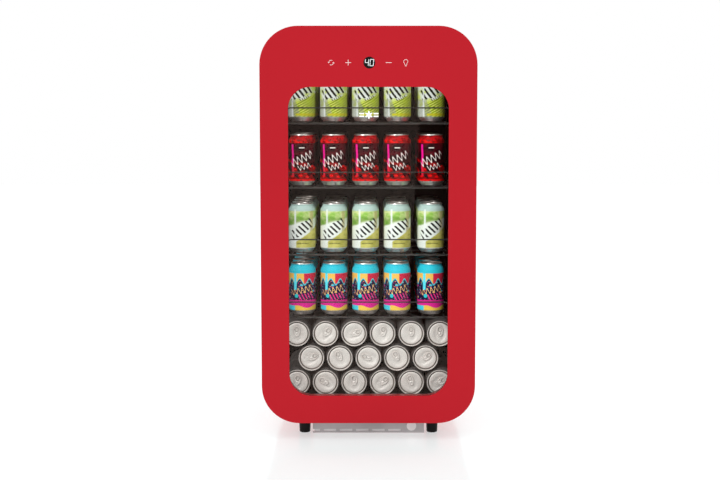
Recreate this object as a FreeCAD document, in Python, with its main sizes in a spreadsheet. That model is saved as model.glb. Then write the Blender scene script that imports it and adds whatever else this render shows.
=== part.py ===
import FreeCAD, Part
import math
import os
import re
import Sketcher

# Glass-door drinks cooler: a rounded cabinet with a compressor bay low at the back, one hinged glass
# door, four wire shelves of standing cans and a stack of lying cans.
#
# Millimetres. +Z is up, -Y is the front and +X is to the right, seen from the front. The origin is on
# the floor, under the middle of the overall box.

# ---------------------------------------------------------------------------------------------------
# Driving dimensions: alias, value, meaning
# ---------------------------------------------------------------------------------------------------
SIZES = (
    ("overall_width", 480, "door glass, side to side"),
    ("overall_depth", 490, "door glass to condenser brackets"),
    ("overall_height", 926, "floor to the top of the door"),
    ("door_low", 38, "floor to the bottom of the door"),
    ("corner_radius", 85, "corners of the door glass"),
    ("door_thick", 46, "door without its gasket"),
    ("door_gap", 10, "door back to cabinet front"),
    ("glass_thick", 4, "outer glass sheet"),
    ("film_thick", 0.3, "enamel border on the outer glass"),
    ("back_panel_thick", 5, "plastic back of the door"),
    ("frame_inset", 1, "door frame inside the edge of the glass"),
    ("window_width", 355, "clear window in the enamel"),
    ("window_low", 101.7, "bottom of the clear window"),
    ("window_high", 792.5, "top of the clear window"),
    ("window_corner", 49, "corners of the clear window"),
    ("frame_margin", 6, "frame opening outside the clear window"),
    ("inner_glass_margin", 18.5, "inner glass outside the clear window"),
    ("inner_glass_thick", 3, "inner glass sheet"),
    ("inner_glass_back", 21, "outer face of the door to the back of the inner glass"),
    ("spacer_width", 8, "glazing spacer, inner to outer edge"),
    ("display_height", 845.6, "middle of the display and touch spots"),
    ("display_radius", 13, "round display window"),
    ("display_side", 2, "middle of the display, right of the middle of the door"),
    ("touch_near", 44.5, "plus and minus, sideways from the display"),
    ("touch_far", 82, "cycle and lamp, sideways from the display"),
    ("touch_spring_radius", 4, "touch contact spring"),
    ("pocket_half", 105, "display pocket, half width"),
    ("pocket_depth", 16, "outer face of the door to the floor of the display pocket"),
    ("pull_low", 430, "bottom of the finger recess"),
    ("pull_high", 590, "top of the finger recess"),
    ("pull_depth", 13, "finger recess, in from the side of the door frame"),
    ("pull_front", 11, "outer face of the door to the finger recess"),
    ("pull_width", 24, "finger recess, front to back"),
    ("gasket_room", 2, "edge of the room to the inside of the gasket"),
    ("gasket_width", 12, "gasket, inner to outer edge"),
    ("hinge_side", 224, "hinge axis, sideways"),
    ("hinge_back", 22, "outer face of the door to the hinge axis"),
    ("hinge_high", 836, "underside of the top hinge tongue"),
    ("hinge_low", 127, "top of the bottom hinge tongue"),
    ("tongue_thick", 3, "hinge tongue"),
    ("tongue_half", 8, "hinge tongue, half width"),
    ("slot_clear", 2, "clearance of the hinge slots above and below the tongue"),
    ("bracket_thick", 2.5, "upright plate of a hinge bracket"),
    ("bracket_tall", 33, "hinge bracket, end to end"),
    ("pin_radius", 4, "hinge pin"),
    ("pin_long", 26, "hinge pin, out of its tongue"),
    ("running_gap", 0.05, "radial clearance of pins, shafts and studs"),
    ("bush_radius", 7, "outside of a hinge bush"),
    ("bush_long", 24, "hinge bush"),
    ("shell_inset", 2, "cabinet shell inside the edge of the door"),
    ("shell_thick", 1.2, "cabinet sheet metal"),
    ("fit_gap", 0.2, "gap between nested sheets and foam"),
    ("cabinet_back", 225, "back edge of the cabinet shell"),
    ("rear_sheet", 1, "rear panel and rear hems"),
    ("room_width", 398, "inside of the liner"),
    ("room_floor", 79, "floor of the room"),
    ("room_ceiling", 884, "ceiling of the room"),
    ("room_corner", 24, "corners of the room"),
    ("room_back", 152, "back wall of the room"),
    ("room_step", 244, "floor of the room over the compressor bay"),
    ("step_front", 90, "back wall of the room in front of the compressor bay"),
    ("liner_wall", 2.2, "inner liner"),
    ("rib_wide", 6.5, "shelf ribs, out of the liner"),
    ("rib_tall", 8, "shelf ribs"),
    ("bay_half", 150, "compressor bay, half width"),
    ("bay_front", 115, "front of the compressor bay"),
    ("bay_high", 214, "top of the compressor bay"),
    ("cover_lap", 12, "compressor cover over the rear panel"),
    ("base_plate_thick", 1.5, "floor of the compressor bay"),
    ("condenser_middle", 236, "middle of the condenser tube"),
    ("condenser_low", 262, "lowest condenser run"),
    ("condenser_pitch", 50, "condenser runs"),
    ("condenser_runs", 13, "condenser runs, count"),
    ("condenser_half", 190, "condenser, half width"),
    ("tube_radius", 2.4, "refrigerant tube"),
    ("wire_radius", 0.75, "condenser wires"),
    ("wire_pitch", 15, "condenser wires"),
    ("wire_count", 25, "condenser wires on each side, count"),
    ("tube_inlet_side", 120, "tubes into the compressor bay, sideways"),
    ("tube_inlet_high", 200, "tubes into the compressor bay, height"),
    ("tube_inlet_deep", 208, "ends of the tubes in the compressor bay"),
    ("compressor_side", 70, "compressor axis, left of the middle"),
    ("compressor_deep", 170, "compressor axis, front to back"),
    ("compressor_radius", 50, "compressor pot"),
    ("compressor_low", 55, "underside of the compressor"),
    ("compressor_high", 172, "top of the compressor"),
    ("gland_side", 110, "cable gland, sideways"),
    ("gland_high", 62, "cable gland, height"),
    ("gland_bore", 4, "cable gland, bore radius"),
    ("gland_long", 12, "cable gland, end to end"),
    ("duct_front", 118, "front of the duct cover"),
    ("duct_sheet", 1.5, "duct cover sheet"),
    ("duct_half", 185, "duct cover, half width"),
    ("duct_low", 300, "bottom of the duct cover"),
    ("duct_high", 860, "top of the duct cover"),
    ("fan_high", 790, "fan axis, height"),
    ("fan_opening", 48, "fan opening in the duct cover, radius"),
    ("fan_radius", 40, "fan blades"),
    ("fan_hub", 12, "fan hub"),
    ("fan_front", 123, "front of the fan hub"),
    ("fan_back", 133, "back of the fan hub"),
    ("fan_blades", 7, "fan blades, count"),
    ("shaft_radius", 2, "fan shaft"),
    ("motor_radius", 16, "fan motor"),
    ("lamp_half", 150, "lamp housing, half width"),
    ("lamp_front", 150, "front of the lamp housing, ahead of the middle"),
    ("foot_side", 147, "front feet, sideways"),
    ("foot_front", 170, "front feet, ahead of the middle"),
    ("foot_top", 36, "top of the front foot pads"),
    ("stud_radius", 4, "stud of a front foot"),
    ("stud_high", 62, "top of a front foot stud"),
    ("nut_thick", 8, "nut of a front foot"),
    ("rear_foot_side", 140, "rear feet, sideways"),
    ("rear_foot_deep", 190, "rear feet, behind the middle"),
    ("kick_half", 128, "kick plate, half width"),
    ("kick_low", 1.5, "bottom edge of the kick plate"),
    ("kick_slot_wide", 29.3, "kick plate slots"),
    ("kick_slot_tall", 5.5, "kick plate slots"),
    ("kick_slot_high", 7.5, "middle of the kick plate slots"),
    ("kick_slot_pitch", 37.2, "kick plate slots"),
    ("kick_slot_first", -126, "middle of the first kick plate slot"),
    ("kick_slots", 6, "kick plate slots, count"),
    ("kick_hole_side", 99, "round hole in the kick plate, sideways"),
    ("kick_hole_high", 17.6, "round hole in the kick plate, height"),
    ("kick_hole_radius", 10, "round hole in the kick plate"),
    ("screw_radius", 2.2, "screw shank"),
    ("screw_head", 4.2, "screw head"),
    ("screw_head_thick", 1.8, "screw head"),
    ("screw_long", 12, "screw, under its head"),
    ("shelf_high_1", 711.5, "front rod of the top shelf"),
    ("shelf_high_2", 565.5, "front rod of the second shelf"),
    ("shelf_high_3", 411.5, "front rod of the third shelf"),
    ("shelf_high_4", 267, "front rod of the bottom shelf"),
    ("shelf_half", 194, "side rods of a shelf"),
    ("shelf_front", 170, "front rod of a shelf, ahead of the middle"),
    ("shelf_back", 110, "back rod of a shelf"),
    ("shelf_rod", 2.5, "outer rod of a shelf, radius"),
    ("shelf_wire", 1.5, "cross wires of a shelf, radius"),
    ("shelf_wires", 15, "cross wires of a shelf, count"),
    ("guard_rise", 35.2, "guard wire over the front rod"),
    ("can_radius", 31, "standing can"),
    ("can_tall_1", 119.5, "standing cans, top shelf"),
    ("can_tall_2", 116, "standing cans, second shelf"),
    ("can_tall_3", 112, "standing cans, third shelf"),
    ("can_tall_4", 118.5, "standing cans, bottom shelf"),
    ("can_pitch_wide", 73.3, "standing cans, side to side"),
    ("can_pitch_deep", 70, "standing cans, front to back"),
    ("can_first_column", -153.3, "axis of the leftmost standing cans"),
    ("can_last_extra", 4.5, "extra room before the rightmost standing cans"),
    ("can_front_row", 134, "axis of the front cans, ahead of the middle"),
    ("cans_wide", 5, "standing cans in a row, count"),
    ("cans_deep", 4, "rows of standing cans, count"),
    ("lying_radius", 33, "lying can"),
    ("lying_tall", 122, "lying can"),
    ("lying_pitch", 66.1, "lying cans, side to side"),
    ("lying_front", 160, "front of the lying cans, ahead of the middle"),
    ("lying_gap", 2, "gap between the two lying cans of a column"),
)
ALIASES = [alias for alias, value, meaning in SIZES]

V = FreeCAD.Vector
doc = FreeCAD.newDocument("DrinksCooler")
sheet = doc.addObject("Spreadsheet::Sheet", "Sizes")
for row, (alias, value, meaning) in enumerate(SIZES, 1):
    sheet.set("A%d" % row, meaning)
    sheet.set("B%d" % row, str(value))
    sheet.setAlias("B%d" % row, alias)
doc.recompute()

subparts = []


# ---------------------------------------------------------------------------------------------------
# Helpers
# ---------------------------------------------------------------------------------------------------
def bound(text):
    """The expression with each alias written as a cell of the sheet."""
    return re.sub(r"[a-z][a-z_0-9]*", lambda m: "Sizes." + m.group() if m.group() in ALIASES else m.group(),
                  str(text))


def bind(thing, prop, text):
    thing.setExpression(prop, bound(text))


def place(thing, x, y, z):
    for letter, text in zip("xyz", (x, y, z)):
        bind(thing, "Placement.Base." + letter, text)


def keep(label, thing):
    """Name a finished sub-part, which is written to a file of the same name."""
    thing.Label = label
    subparts.append(thing)
    return thing


def inset(outline, margin):
    """The rounded outline moved inwards all round."""
    half, low, high, radius = outline
    return ("%s - (%s)" % (half, margin), "%s + (%s)" % (low, margin),
            "%s - (%s)" % (high, margin), "%s - (%s)" % (radius, margin))


def rounded_loop(sketch, name, outline):
    """A rounded rectangle on the sketch, centred on its vertical axis: half width, low, high, radius."""
    w, low, high, r = 100.0, -50.0, 200.0, 20.0
    first = sketch.GeometryCount
    corners = ((w - r, low + r), (w - r, high - r), (r - w, high - r), (r - w, low + r))
    sides = (((r - w, low), (w - r, low)), ((w, low + r), (w, high - r)),
             ((w - r, high), (r - w, high)), ((-w, high - r), (-w, low + r)))
    for turn, ((cx, cy), (start, end)) in enumerate(zip(corners, sides)):
        sketch.addGeometry(Part.LineSegment(V(*start, 0), V(*end, 0)), False)
        circle = Part.Circle(V(cx, cy, 0), V(0, 0, 1), r)
        angle = (turn - 1) * math.pi / 2
        sketch.addGeometry(Part.ArcOfCircle(circle, angle, angle + math.pi / 2), False)
    for i in range(8):
        sketch.addConstraint(Sketcher.Constraint("Tangent", first + i, 2, first + (i + 1) % 8, 1))
    for side, kind in enumerate(("Horizontal", "Vertical", "Horizontal", "Vertical")):
        sketch.addConstraint(Sketcher.Constraint(kind, first + 2 * side))
    for corner in (3, 5, 7):
        sketch.addConstraint(Sketcher.Constraint("Equal", first + 1, first + corner))
    half, low_text, high_text, radius = outline
    for suffix, constraint, text in (
            ("radius", ("Radius", first + 1, r), radius),
            ("right", ("DistanceX", -1, 1, first + 2, 1, w), half),
            ("left", ("DistanceX", first + 6, 1, -1, 1, w), half),
            ("low", ("DistanceY", -1, 1, first, 1, low), low_text),
            ("high", ("DistanceY", -1, 1, first + 4, 1, high), high_text)):
        index = sketch.addConstraint(Sketcher.Constraint(*constraint))
        sketch.renameConstraint(index, name + suffix)
        bind(sketch, "Constraints." + name + suffix, text)


def new_sketch(body, name, role):
    sketch = body.newObject("Sketcher::SketchObject", name)
    plane = [feature for feature in body.Origin.OriginFeatures if feature.Role == role][0]
    sketch.AttachmentSupport = [(plane, "")]
    sketch.MapMode = "FlatFace"
    return sketch


def slab(name, outline, front, back, hole=None):
    """A rounded plate or ring, upright, from its front to its back along +Y."""
    body = doc.addObject("PartDesign::Body", name)
    sketch = new_sketch(body, name + "_outline", "XZ_Plane")
    rounded_loop(sketch, "outer_", outline)
    if hole:
        rounded_loop(sketch, "inner_", hole)
    pad = body.newObject("PartDesign::Pad", name + "_pad")
    pad.Profile = sketch
    pad.Reversed = True
    bind(pad, "Length", "(%s) - (%s)" % (back, front))
    bind(body, "Placement.Base.y", front)
    return body


def turned(name, profile):
    """A solid turned about Z: the profile's corners as radius and height, from the axis round to the axis."""
    body = doc.addObject("PartDesign::Body", name)
    sketch = new_sketch(body, name + "_profile", "XZ_Plane")
    count = len(profile)
    start = [V(10 * (1 + math.sin(math.pi * i / (count - 1))), 10 * i, 0) for i in range(count)]
    for i in range(count):
        sketch.addGeometry(Part.LineSegment(start[i], start[(i + 1) % count]), False)
    for i in range(count):
        sketch.addConstraint(Sketcher.Constraint("Coincident", i, 2, (i + 1) % count, 1))
    for i, (radius, height) in enumerate(profile):
        if radius == "0":
            sketch.addConstraint(Sketcher.Constraint("PointOnObject", i, 1, -2))
        else:
            index = sketch.addConstraint(Sketcher.Constraint("DistanceX", -1, 1, i, 1, start[i].x))
            sketch.renameConstraint(index, "radius_%d" % i)
            bind(sketch, "Constraints.radius_%d" % i, radius)
        if height == "0":
            sketch.addConstraint(Sketcher.Constraint("PointOnObject", i, 1, -1))
        else:
            index = sketch.addConstraint(Sketcher.Constraint("DistanceY", -1, 1, i, 1, start[i].y))
            sketch.renameConstraint(index, "height_%d" % i)
            bind(sketch, "Constraints.height_%d" % i, height)
    turn = body.newObject("PartDesign::Revolution", name + "_turn")
    turn.Profile = sketch
    turn.ReferenceAxis = (sketch, ["V_Axis"])
    turn.Angle = 360
    return body


def box(name, x, y, z):
    """A box between two expressions along each axis."""
    piece = doc.addObject("Part::Box", name)
    for side, (low, high) in zip(("Length", "Width", "Height"), (x, y, z)):
        bind(piece, side, "(%s) - (%s)" % (high, low))
    place(piece, x[0], y[0], z[0])
    return piece


AXIS_TURN = {"x": FreeCAD.Rotation(V(0, 1, 0), 90), "y": FreeCAD.Rotation(V(1, 0, 0), -90),
             "z": FreeCAD.Rotation()}


def rod(name, axis, radius, x, y, z):
    """A cylinder along one axis: that axis gets two ends, and the other two get one value each."""
    piece = doc.addObject("Part::Cylinder", name)
    piece.Placement = FreeCAD.Placement(V(), AXIS_TURN[axis])
    low, high = {"x": x, "y": y, "z": z}[axis]
    bind(piece, "Radius", radius)
    bind(piece, "Height", "(%s) - (%s)" % (high, low))
    place(piece, *[text[0] if isinstance(text, tuple) else text for text in (x, y, z)])
    return piece


def joined(kind, name, pieces):
    if len(pieces) == 1:
        return pieces[0]
    group = doc.addObject(kind, name)
    if kind == "Part::Compound":
        group.Links = pieces
    else:
        group.Shapes = pieces
    return group


def fuse(name, pieces):
    return joined("Part::MultiFuse", name, pieces)


def gather(name, pieces):
    """Separate solids that share one node."""
    return joined("Part::Compound", name, pieces)


def cut(name, base, tools):
    result = doc.addObject("Part::Cut", name)
    result.Base = base
    result.Tool = gather(name + "_tools", tools) if len(tools) > 1 else tools[0]
    return result


def shaped(label, shape, at=V()):
    """A sub-part whose shape is worked out here from the sheet's values."""
    piece = doc.addObject("Part::Feature", label)
    piece.Shape = shape
    piece.Placement = FreeCAD.Placement(at, FreeCAD.Rotation())
    return keep(label, piece)


def copies(shape, places):
    """One compound of moved copies of a shape."""
    solids = []
    for at in places:
        solid = shape.copy()
        solid.Placement = at.multiply(solid.Placement)
        solids.append(solid)
    return Part.makeCompound(solids)


def bent_path(points, bends):
    """Straight runs joined by tangent arcs; bends holds the radius at each inner point."""
    edges = []
    start = points[0]
    for before, corner, after, bend in zip(points, points[1:], points[2:], bends):
        into = (corner - before).normalize()
        out = (after - corner).normalize()
        half = into.getAngle(out) / 2
        setback = bend * math.tan(half)
        arc_start = corner - into * setback
        arc_end = corner + out * setback
        middle = corner + (out - into).normalize() * (bend / math.cos(half) - bend)
        if start.distanceToPoint(arc_start) > 1e-6:
            edges.append(Part.LineSegment(start, arc_start).toShape())
        edges.append(Part.Arc(arc_start, middle, arc_end).toShape())
        start = arc_end
    edges.append(Part.LineSegment(start, points[-1]).toShape())
    return Part.Wire(edges)


def bent_rod(points, bends, radius):
    """A round rod or tube solid along a bent path."""
    ring = Part.Wire(Part.makeCircle(radius, points[0], points[1] - points[0]))
    return bent_path(points, bends).makePipeShell([ring], True, False)


# ---------------------------------------------------------------------------------------------------
# Faces and outlines that several sub-parts share
# ---------------------------------------------------------------------------------------------------
DOOR_FRONT = "-overall_depth / 2"
GLASS_BACK = DOOR_FRONT + " + glass_thick"
FILM_BACK = GLASS_BACK + " + film_thick"
INNER_GLASS_BACK = DOOR_FRONT + " + inner_glass_back"
INNER_GLASS_FRONT = INNER_GLASS_BACK + " - inner_glass_thick"
POCKET_BACK = DOOR_FRONT + " + glass_thick + pocket_depth"
DOOR_BACK = DOOR_FRONT + " + door_thick"
FRAME_BACK = DOOR_BACK + " - back_panel_thick"
CABINET_FRONT = DOOR_BACK + " + door_gap"
FLANGE_BACK = CABINET_FRONT + " + liner_wall"
FOAM_BACK = "cabinet_back - rear_sheet - fit_gap"
PANEL_BACK = "cabinet_back - fit_gap"
HINGE_AXIS = DOOR_FRONT + " + hinge_back"

DOOR = ("overall_width / 2", "door_low", "overall_height", "corner_radius")
WINDOW = ("window_width / 2", "window_low", "window_high", "window_corner")
FRAME = inset(DOOR, "frame_inset")
FRAME_OPENING = inset(WINDOW, "-frame_margin")
INNER_GLASS = inset(WINDOW, "-inner_glass_margin")
CABINET = inset(DOOR, "shell_inset")
SHELL_INSIDE = inset(CABINET, "shell_thick")
FOAM = inset(CABINET, "shell_thick + fit_gap")
ROOM = ("room_width / 2", "room_floor", "room_ceiling", "room_corner")
ROOM_OVER_BAY = ("room_width / 2", "room_step", "room_ceiling", "room_corner")
GASKET_INSIDE = inset(ROOM, "-gasket_room")
GASKET_OUTSIDE = inset(GASKET_INSIDE, "-gasket_width")

# ---------------------------------------------------------------------------------------------------
# Screws, and the holes that they leave in what they hold
# ---------------------------------------------------------------------------------------------------
BRACKET_FRONT = CABINET_FRONT + " - bracket_thick"
HINGE_SCREW_SIDE = "hinge_side + 0.5"
HINGE_SCREW_HEIGHTS = {"top": ("hinge_high - bracket_tall + tongue_thick + 8", "hinge_high - 8"),
                       "bottom": ("hinge_low + 8", "hinge_low + bracket_tall - tongue_thick - 8")}
COVER_BACK = PANEL_BACK + " + 1.2"
COVER_SCREW_HEIGHTS = ("62", "132", "198")
DOOR_SCREWS = ([(side * 192, height) for side in (-1, 1) for height in (200, 450, 700)]
               + [(side * 100, height) for side in (-1, 1) for height in (85, 810)])


def screw(name, x, z, face, points_back):
    """One pan-head screw along Y, its head resting on the face."""
    if points_back:
        head = rod(name + "_head", "y", "screw_head", x, (face + " - screw_head_thick", face), z)
        shank = rod(name + "_shank", "y", "screw_radius", x, (face, face + " + screw_long"), z)
    else:
        head = rod(name + "_head", "y", "screw_head", x, (face, face + " + screw_head_thick"), z)
        shank = rod(name + "_shank", "y", "screw_radius", x, (face + " - screw_long", face), z)
    return fuse(name, [head, shank])


def screw_hole(name, x, z, front, back):
    return rod(name, "y", "screw_radius + running_gap", x, (front, back), z)


def hinge_screw_holes(name, front, back, hinges=("top", "bottom")):
    return [screw_hole("%s_hinge_hole_%s_%d" % (name, word, i), HINGE_SCREW_SIDE, height, front, back)
            for word in hinges for i, height in enumerate(HINGE_SCREW_HEIGHTS[word])]


def cover_screw_holes(name, front, back):
    return [screw_hole("%s_cover_hole_%s%d" % (name, sign.strip("-") or "p", i),
                       sign + "(bay_half + cover_lap / 2)",
                       height, front, back)
            for sign in ("-", "") for i, height in enumerate(COVER_SCREW_HEIGHTS)]


def door_screw_holes(name, front, back):
    return [screw_hole("%s_door_hole_%d" % (name, i), x, z, front, back)
            for i, (x, z) in enumerate(DOOR_SCREWS)]


def make_screws():
    keep("hinge_screws", gather("hinge_screws", [
        screw("hinge_screw_%s_%d" % (word, i), HINGE_SCREW_SIDE, height, BRACKET_FRONT, True)
        for word, heights in HINGE_SCREW_HEIGHTS.items() for i, height in enumerate(heights)]))
    keep("panel_screws", gather("panel_screws", [
        screw("panel_screw_%s%d" % (word, i), sign + "(bay_half + cover_lap / 2)", height, COVER_BACK,
              False)
        for word, sign in (("left", "-"), ("right", "")) for i, height in enumerate(COVER_SCREW_HEIGHTS)]))
    keep("door_screws", gather("door_screws", [
        screw("door_screw_%d" % i, x, z, DOOR_BACK, False) for i, (x, z) in enumerate(DOOR_SCREWS)]))


# ---------------------------------------------------------------------------------------------------
# Cabinet
# ---------------------------------------------------------------------------------------------------
def foot_studs(name, radius, low, high):
    return [rod("%s_%s" % (name, word), "z", radius, sign + "foot_side", "-foot_front", (low, high))
            for word, sign in (("left", "-"), ("right", ""))]


def make_cabinet_shell():
    """Wrap of sheet steel, open at the front and back, with a hole for each front foot."""
    sleeve = slab("cabinet_sleeve", CABINET, CABINET_FRONT, "cabinet_back", SHELL_INSIDE)
    keep("cabinet_shell", cut("cabinet_shell", sleeve, foot_studs("shell_stud_hole", "stud_radius + 1",
                                                                  "door_low", "door_low + 8")))


def room_solids(name, margin, front):
    """The room as two overlapping blocks, stepped over the compressor bay, grown by the margin."""
    upper = slab(name + "_upper", inset(ROOM_OVER_BAY, "-(%s)" % margin), front,
                 "room_back + (%s)" % margin)
    lower = slab(name + "_lower", inset(ROOM, "-(%s)" % margin), front, "step_front + (%s)" % margin)
    return fuse(name, [upper, lower])


def make_liner_and_foam():
    outside = room_solids("liner_outside", "liner_wall", CABINET_FRONT)
    inside = room_solids("liner_inside", "0", CABINET_FRONT + " - 1")
    flange = cut("liner_flange", slab("liner_flange_plate", FOAM, CABINET_FRONT, FLANGE_BACK),
                 hinge_screw_holes("liner", CABINET_FRONT + " - 1", FLANGE_BACK + " + 1"))
    ribs = []
    for number in range(1, 5):
        top = "shelf_high_%d - shelf_rod - 0.1" % number
        for word, low, high in (("left", "-room_width / 2 - 0.5", "-room_width / 2 + rib_wide"),
                                ("right", "room_width / 2 - rib_wide", "room_width / 2 + 0.5")):
            ribs.append(box("shelf_rib_%s_%d" % (word, number), (low, high), ("-shelf_front", "step_front"),
                            (top + " - rib_tall", top)))
    hollow = cut("liner_hollow", fuse("liner_block", [outside, flange]), [inside])
    keep("inner_liner", fuse("inner_liner", [hollow] + ribs))

    bay = box("bay_block", ("-bay_half", "bay_half"), ("bay_front", "cabinet_back"),
              ("door_low", "bay_high"))
    nuts = foot_studs("foam_nut_pocket", "10", "door_low",
                      "door_low + shell_inset + shell_thick + nut_thick + 1")
    studs = foot_studs("foam_stud_hole", "stud_radius + 1", "door_low", "stud_high + 2")
    block = slab("foam_block", FOAM, FLANGE_BACK, FOAM_BACK)
    keep("insulation_foam", cut("insulation_foam", block,
                                [fuse("foam_hollows", [outside, bay] + nuts + studs
         + hinge_screw_holes("foam", CABINET_FRONT, BRACKET_FRONT + " + screw_long + 1")
         + cover_screw_holes("foam", FOAM_BACK + " - screw_long", "cabinet_back"))]))


def make_rear():
    panel = slab("rear_sheet_plate", FOAM, FOAM_BACK, PANEL_BACK)
    notch = box("rear_notch", ("-bay_half", "bay_half"), (FOAM_BACK + " - 1", "cabinet_back + 1"),
                ("door_low", "bay_high"))
    keep("rear_panel", cut("rear_panel", panel, [notch] + cover_screw_holes("rear", FOAM_BACK + " - 1",
                                                                          "cabinet_back + 1")))
    plate = box("cover_plate", ("-bay_half - cover_lap", "bay_half + cover_lap"), (PANEL_BACK, COVER_BACK),
                ("door_low + 4", "bay_high + cover_lap"))
    openings = cover_screw_holes("cover", PANEL_BACK + " - 1", COVER_BACK + " + 1")
    for row in range(8):
        for column in range(5):
            middle = (column - 2) * 44
            low = 88 + row * 12
            openings.append(box("vent_%d_%d" % (row, column), (str(middle - 18), str(middle + 18)),
                                (PANEL_BACK + " - 1", COVER_BACK + " + 1"), (str(low), str(low + 5))))
    for word, sign in (("left", "-"), ("right", "")):
        openings.append(rod("tube_hole_" + word, "y", "tube_radius + 1", sign + "tube_inlet_side",
                            (PANEL_BACK + " - 1", COVER_BACK + " + 1"), "tube_inlet_high"))
    openings.append(rod("gland_hole", "y", "gland_bore + 2 + running_gap", "gland_side",
                        (PANEL_BACK + " - 1", COVER_BACK + " + 1"), "gland_high"))
    keep("compressor_cover", cut("compressor_cover", plate, openings))


def make_base_plate():
    low = "door_low + shell_inset + shell_thick"
    keep("base_plate", box("base_plate", ("-bay_half + 2", "bay_half - 2"),
                           ("bay_front + 3", "cabinet_back - 3"),
                           (low, low + " + base_plate_thick")))


def make_kick_plate():
    front = CABINET_FRONT + " + fit_gap"
    back = front + " + shell_thick"
    top = "door_low + shell_inset"
    plate = box("kick_upright", ("-kick_half", "kick_half"), (front, back), ("kick_low", top))
    flange = box("kick_flange", ("-kick_half", "kick_half"), (front, front + " + 14"),
                 (top + " - shell_thick", top))
    openings = []
    for number in range(int(sheet.kick_slots)):
        middle = "kick_slot_first + kick_slot_pitch * %d" % number
        openings.append(box("kick_slot_%d" % number,
                            (middle + " - kick_slot_wide / 2", middle + " + kick_slot_wide / 2"),
                            (front + " - 1", back + " + 1"),
                            ("kick_slot_high - kick_slot_tall / 2", "kick_slot_high + kick_slot_tall / 2")))
    openings.append(rod("kick_hole", "y", "kick_hole_radius", "kick_hole_side",
                        (front + " - 1", back + " + 1"),
                        "kick_hole_high"))
    keep("kick_plate", cut("kick_plate", fuse("kick_angle", [plate, flange]), openings))
    keep("kick_filter", box("kick_filter", ("-kick_half + 3", "kick_half - 3"),
                            (back + " + 2", back + " + 5"),
                            ("kick_low + 2", top + " - shell_thick - 0.5")))
    plug = rod("kick_cap_plug", "y", "kick_hole_radius - 0.1", "kick_hole_side",
               (front + " - 1", back + " + 1.6"),
               "kick_hole_high")
    rim = rod("kick_cap_rim", "y", "kick_hole_radius + 1", "kick_hole_side",
              (front + " - 1.4", front + " - 0.05"),
              "kick_hole_high")
    keep("kick_cap", fuse("kick_cap", [plug, rim]))


def make_rear_feet():
    pads = []
    for word, sign in (("left", "-"), ("right", "")):
        pad = turned("rear_foot_" + word, [("0", "0"), ("12", "0"), ("14", "2"), ("14", "34"), ("16", "36"),
                                           ("16", "door_low + shell_inset"),
                                           ("0", "door_low + shell_inset")])
        place(pad, sign + "rear_foot_side", "rear_foot_deep", "0")
        pads.append(pad)
    keep("rear_feet", gather("rear_feet", pads))


def make_front_feet():
    """Levelling feet: a tapered pad on a stud that turns in a nut inside the cabinet floor."""
    nuts = []
    for word, sign in (("left", "-"), ("right", "")):
        foot = turned("front_foot_" + word, [
            ("0", "0"), ("11.5", "0"), ("12.5", "1.5"), ("14", "foot_top - 2"), ("13", "foot_top"),
            ("stud_radius", "foot_top"), ("stud_radius", "stud_high - 1"), ("stud_radius - 1", "stud_high"),
            ("0", "stud_high")])
        place(foot, sign + "foot_side", "-foot_front", "0")
        keep("front_foot_" + word, foot)
        low = "door_low + shell_inset + shell_thick"
        nut = doc.addObject("Part::Prism", "foot_nut_blank_" + word)
        nut.Polygon = 6
        nut.Circumradius = 8.6
        bind(nut, "Height", "nut_thick")
        place(nut, sign + "foot_side", "-foot_front", low)
        bore = rod("foot_nut_bore_" + word, "z", "stud_radius + running_gap", sign + "foot_side",
                   "-foot_front",
                   (low + " - 1", low + " + nut_thick + 1"))
        nuts.append(cut("foot_nut_" + word, nut, [bore]))
    keep("foot_nuts", gather("foot_nuts", nuts))


# ---------------------------------------------------------------------------------------------------
# Cooling
# ---------------------------------------------------------------------------------------------------
def make_condenser():
    middle = sheet.condenser_middle
    side = sheet.tube_inlet_side
    inlet = V(-side, sheet.tube_inlet_deep, sheet.tube_inlet_high)
    points = [inlet, V(-side, middle, inlet.z), V(-side, middle, sheet.condenser_low)]
    bends = [8, 10]
    runs = int(sheet.condenser_runs)
    for run in range(runs):
        height = sheet.condenser_low + run * sheet.condenser_pitch
        far = sheet.condenser_half if run % 2 == 0 else -sheet.condenser_half
        if run > 0:
            points.append(V(-far, middle, height))
        if run < runs - 1:
            points.append(V(far, middle, height))
    bends += [sheet.condenser_pitch / 2] * (2 * (runs - 1))
    return_side = sheet.condenser_half + 17
    under = sheet.condenser_low - 30
    points += [V(return_side, middle, points[-1].z), V(return_side, middle, under), V(side, middle, under),
               V(side, middle, inlet.z), V(side, inlet.y, inlet.z)]
    bends += [10, 10, 10, 8]
    shaped("condenser_tube", bent_rod(points, bends, sheet.tube_radius))

    low = sheet.condenser_low - 10
    high = points[2].z + (runs - 1) * sheet.condenser_pitch + 10
    wire = Part.makeCylinder(sheet.wire_radius, high - low)
    count = int(sheet.wire_count)
    off = sheet.tube_radius + sheet.wire_radius + 0.05
    shaped("condenser_wires", copies(wire, [
        FreeCAD.Placement(V((i - (count - 1) / 2) * sheet.wire_pitch, middle + face * off, low),
                          FreeCAD.Rotation())
        for face in (-1, 1) for i in range(count)]))

    brackets = []
    for word, sign in (("left", "-"), ("right", "")):
        for level, run in (("low", 1), ("high", 11)):
            height = "condenser_low + condenser_pitch * %d" % run
            name = "condenser_bracket_%s_%s" % (level, word)
            side_middle = sign + "(wire_pitch * 10.5)"
            block = box(name + "_block", (side_middle + " - 6", side_middle + " + 6"),
                        (PANEL_BACK, "overall_depth / 2"), (height + " - 9", height + " + 9"))
            hole = rod(name + "_hole", "x", "tube_radius + running_gap",
                       (side_middle + " - 7", side_middle + " + 7"),
                       "condenser_middle", height)
            brackets.append(cut(name, block, [hole]))
    keep("condenser_brackets", gather("condenser_brackets", brackets))


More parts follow.
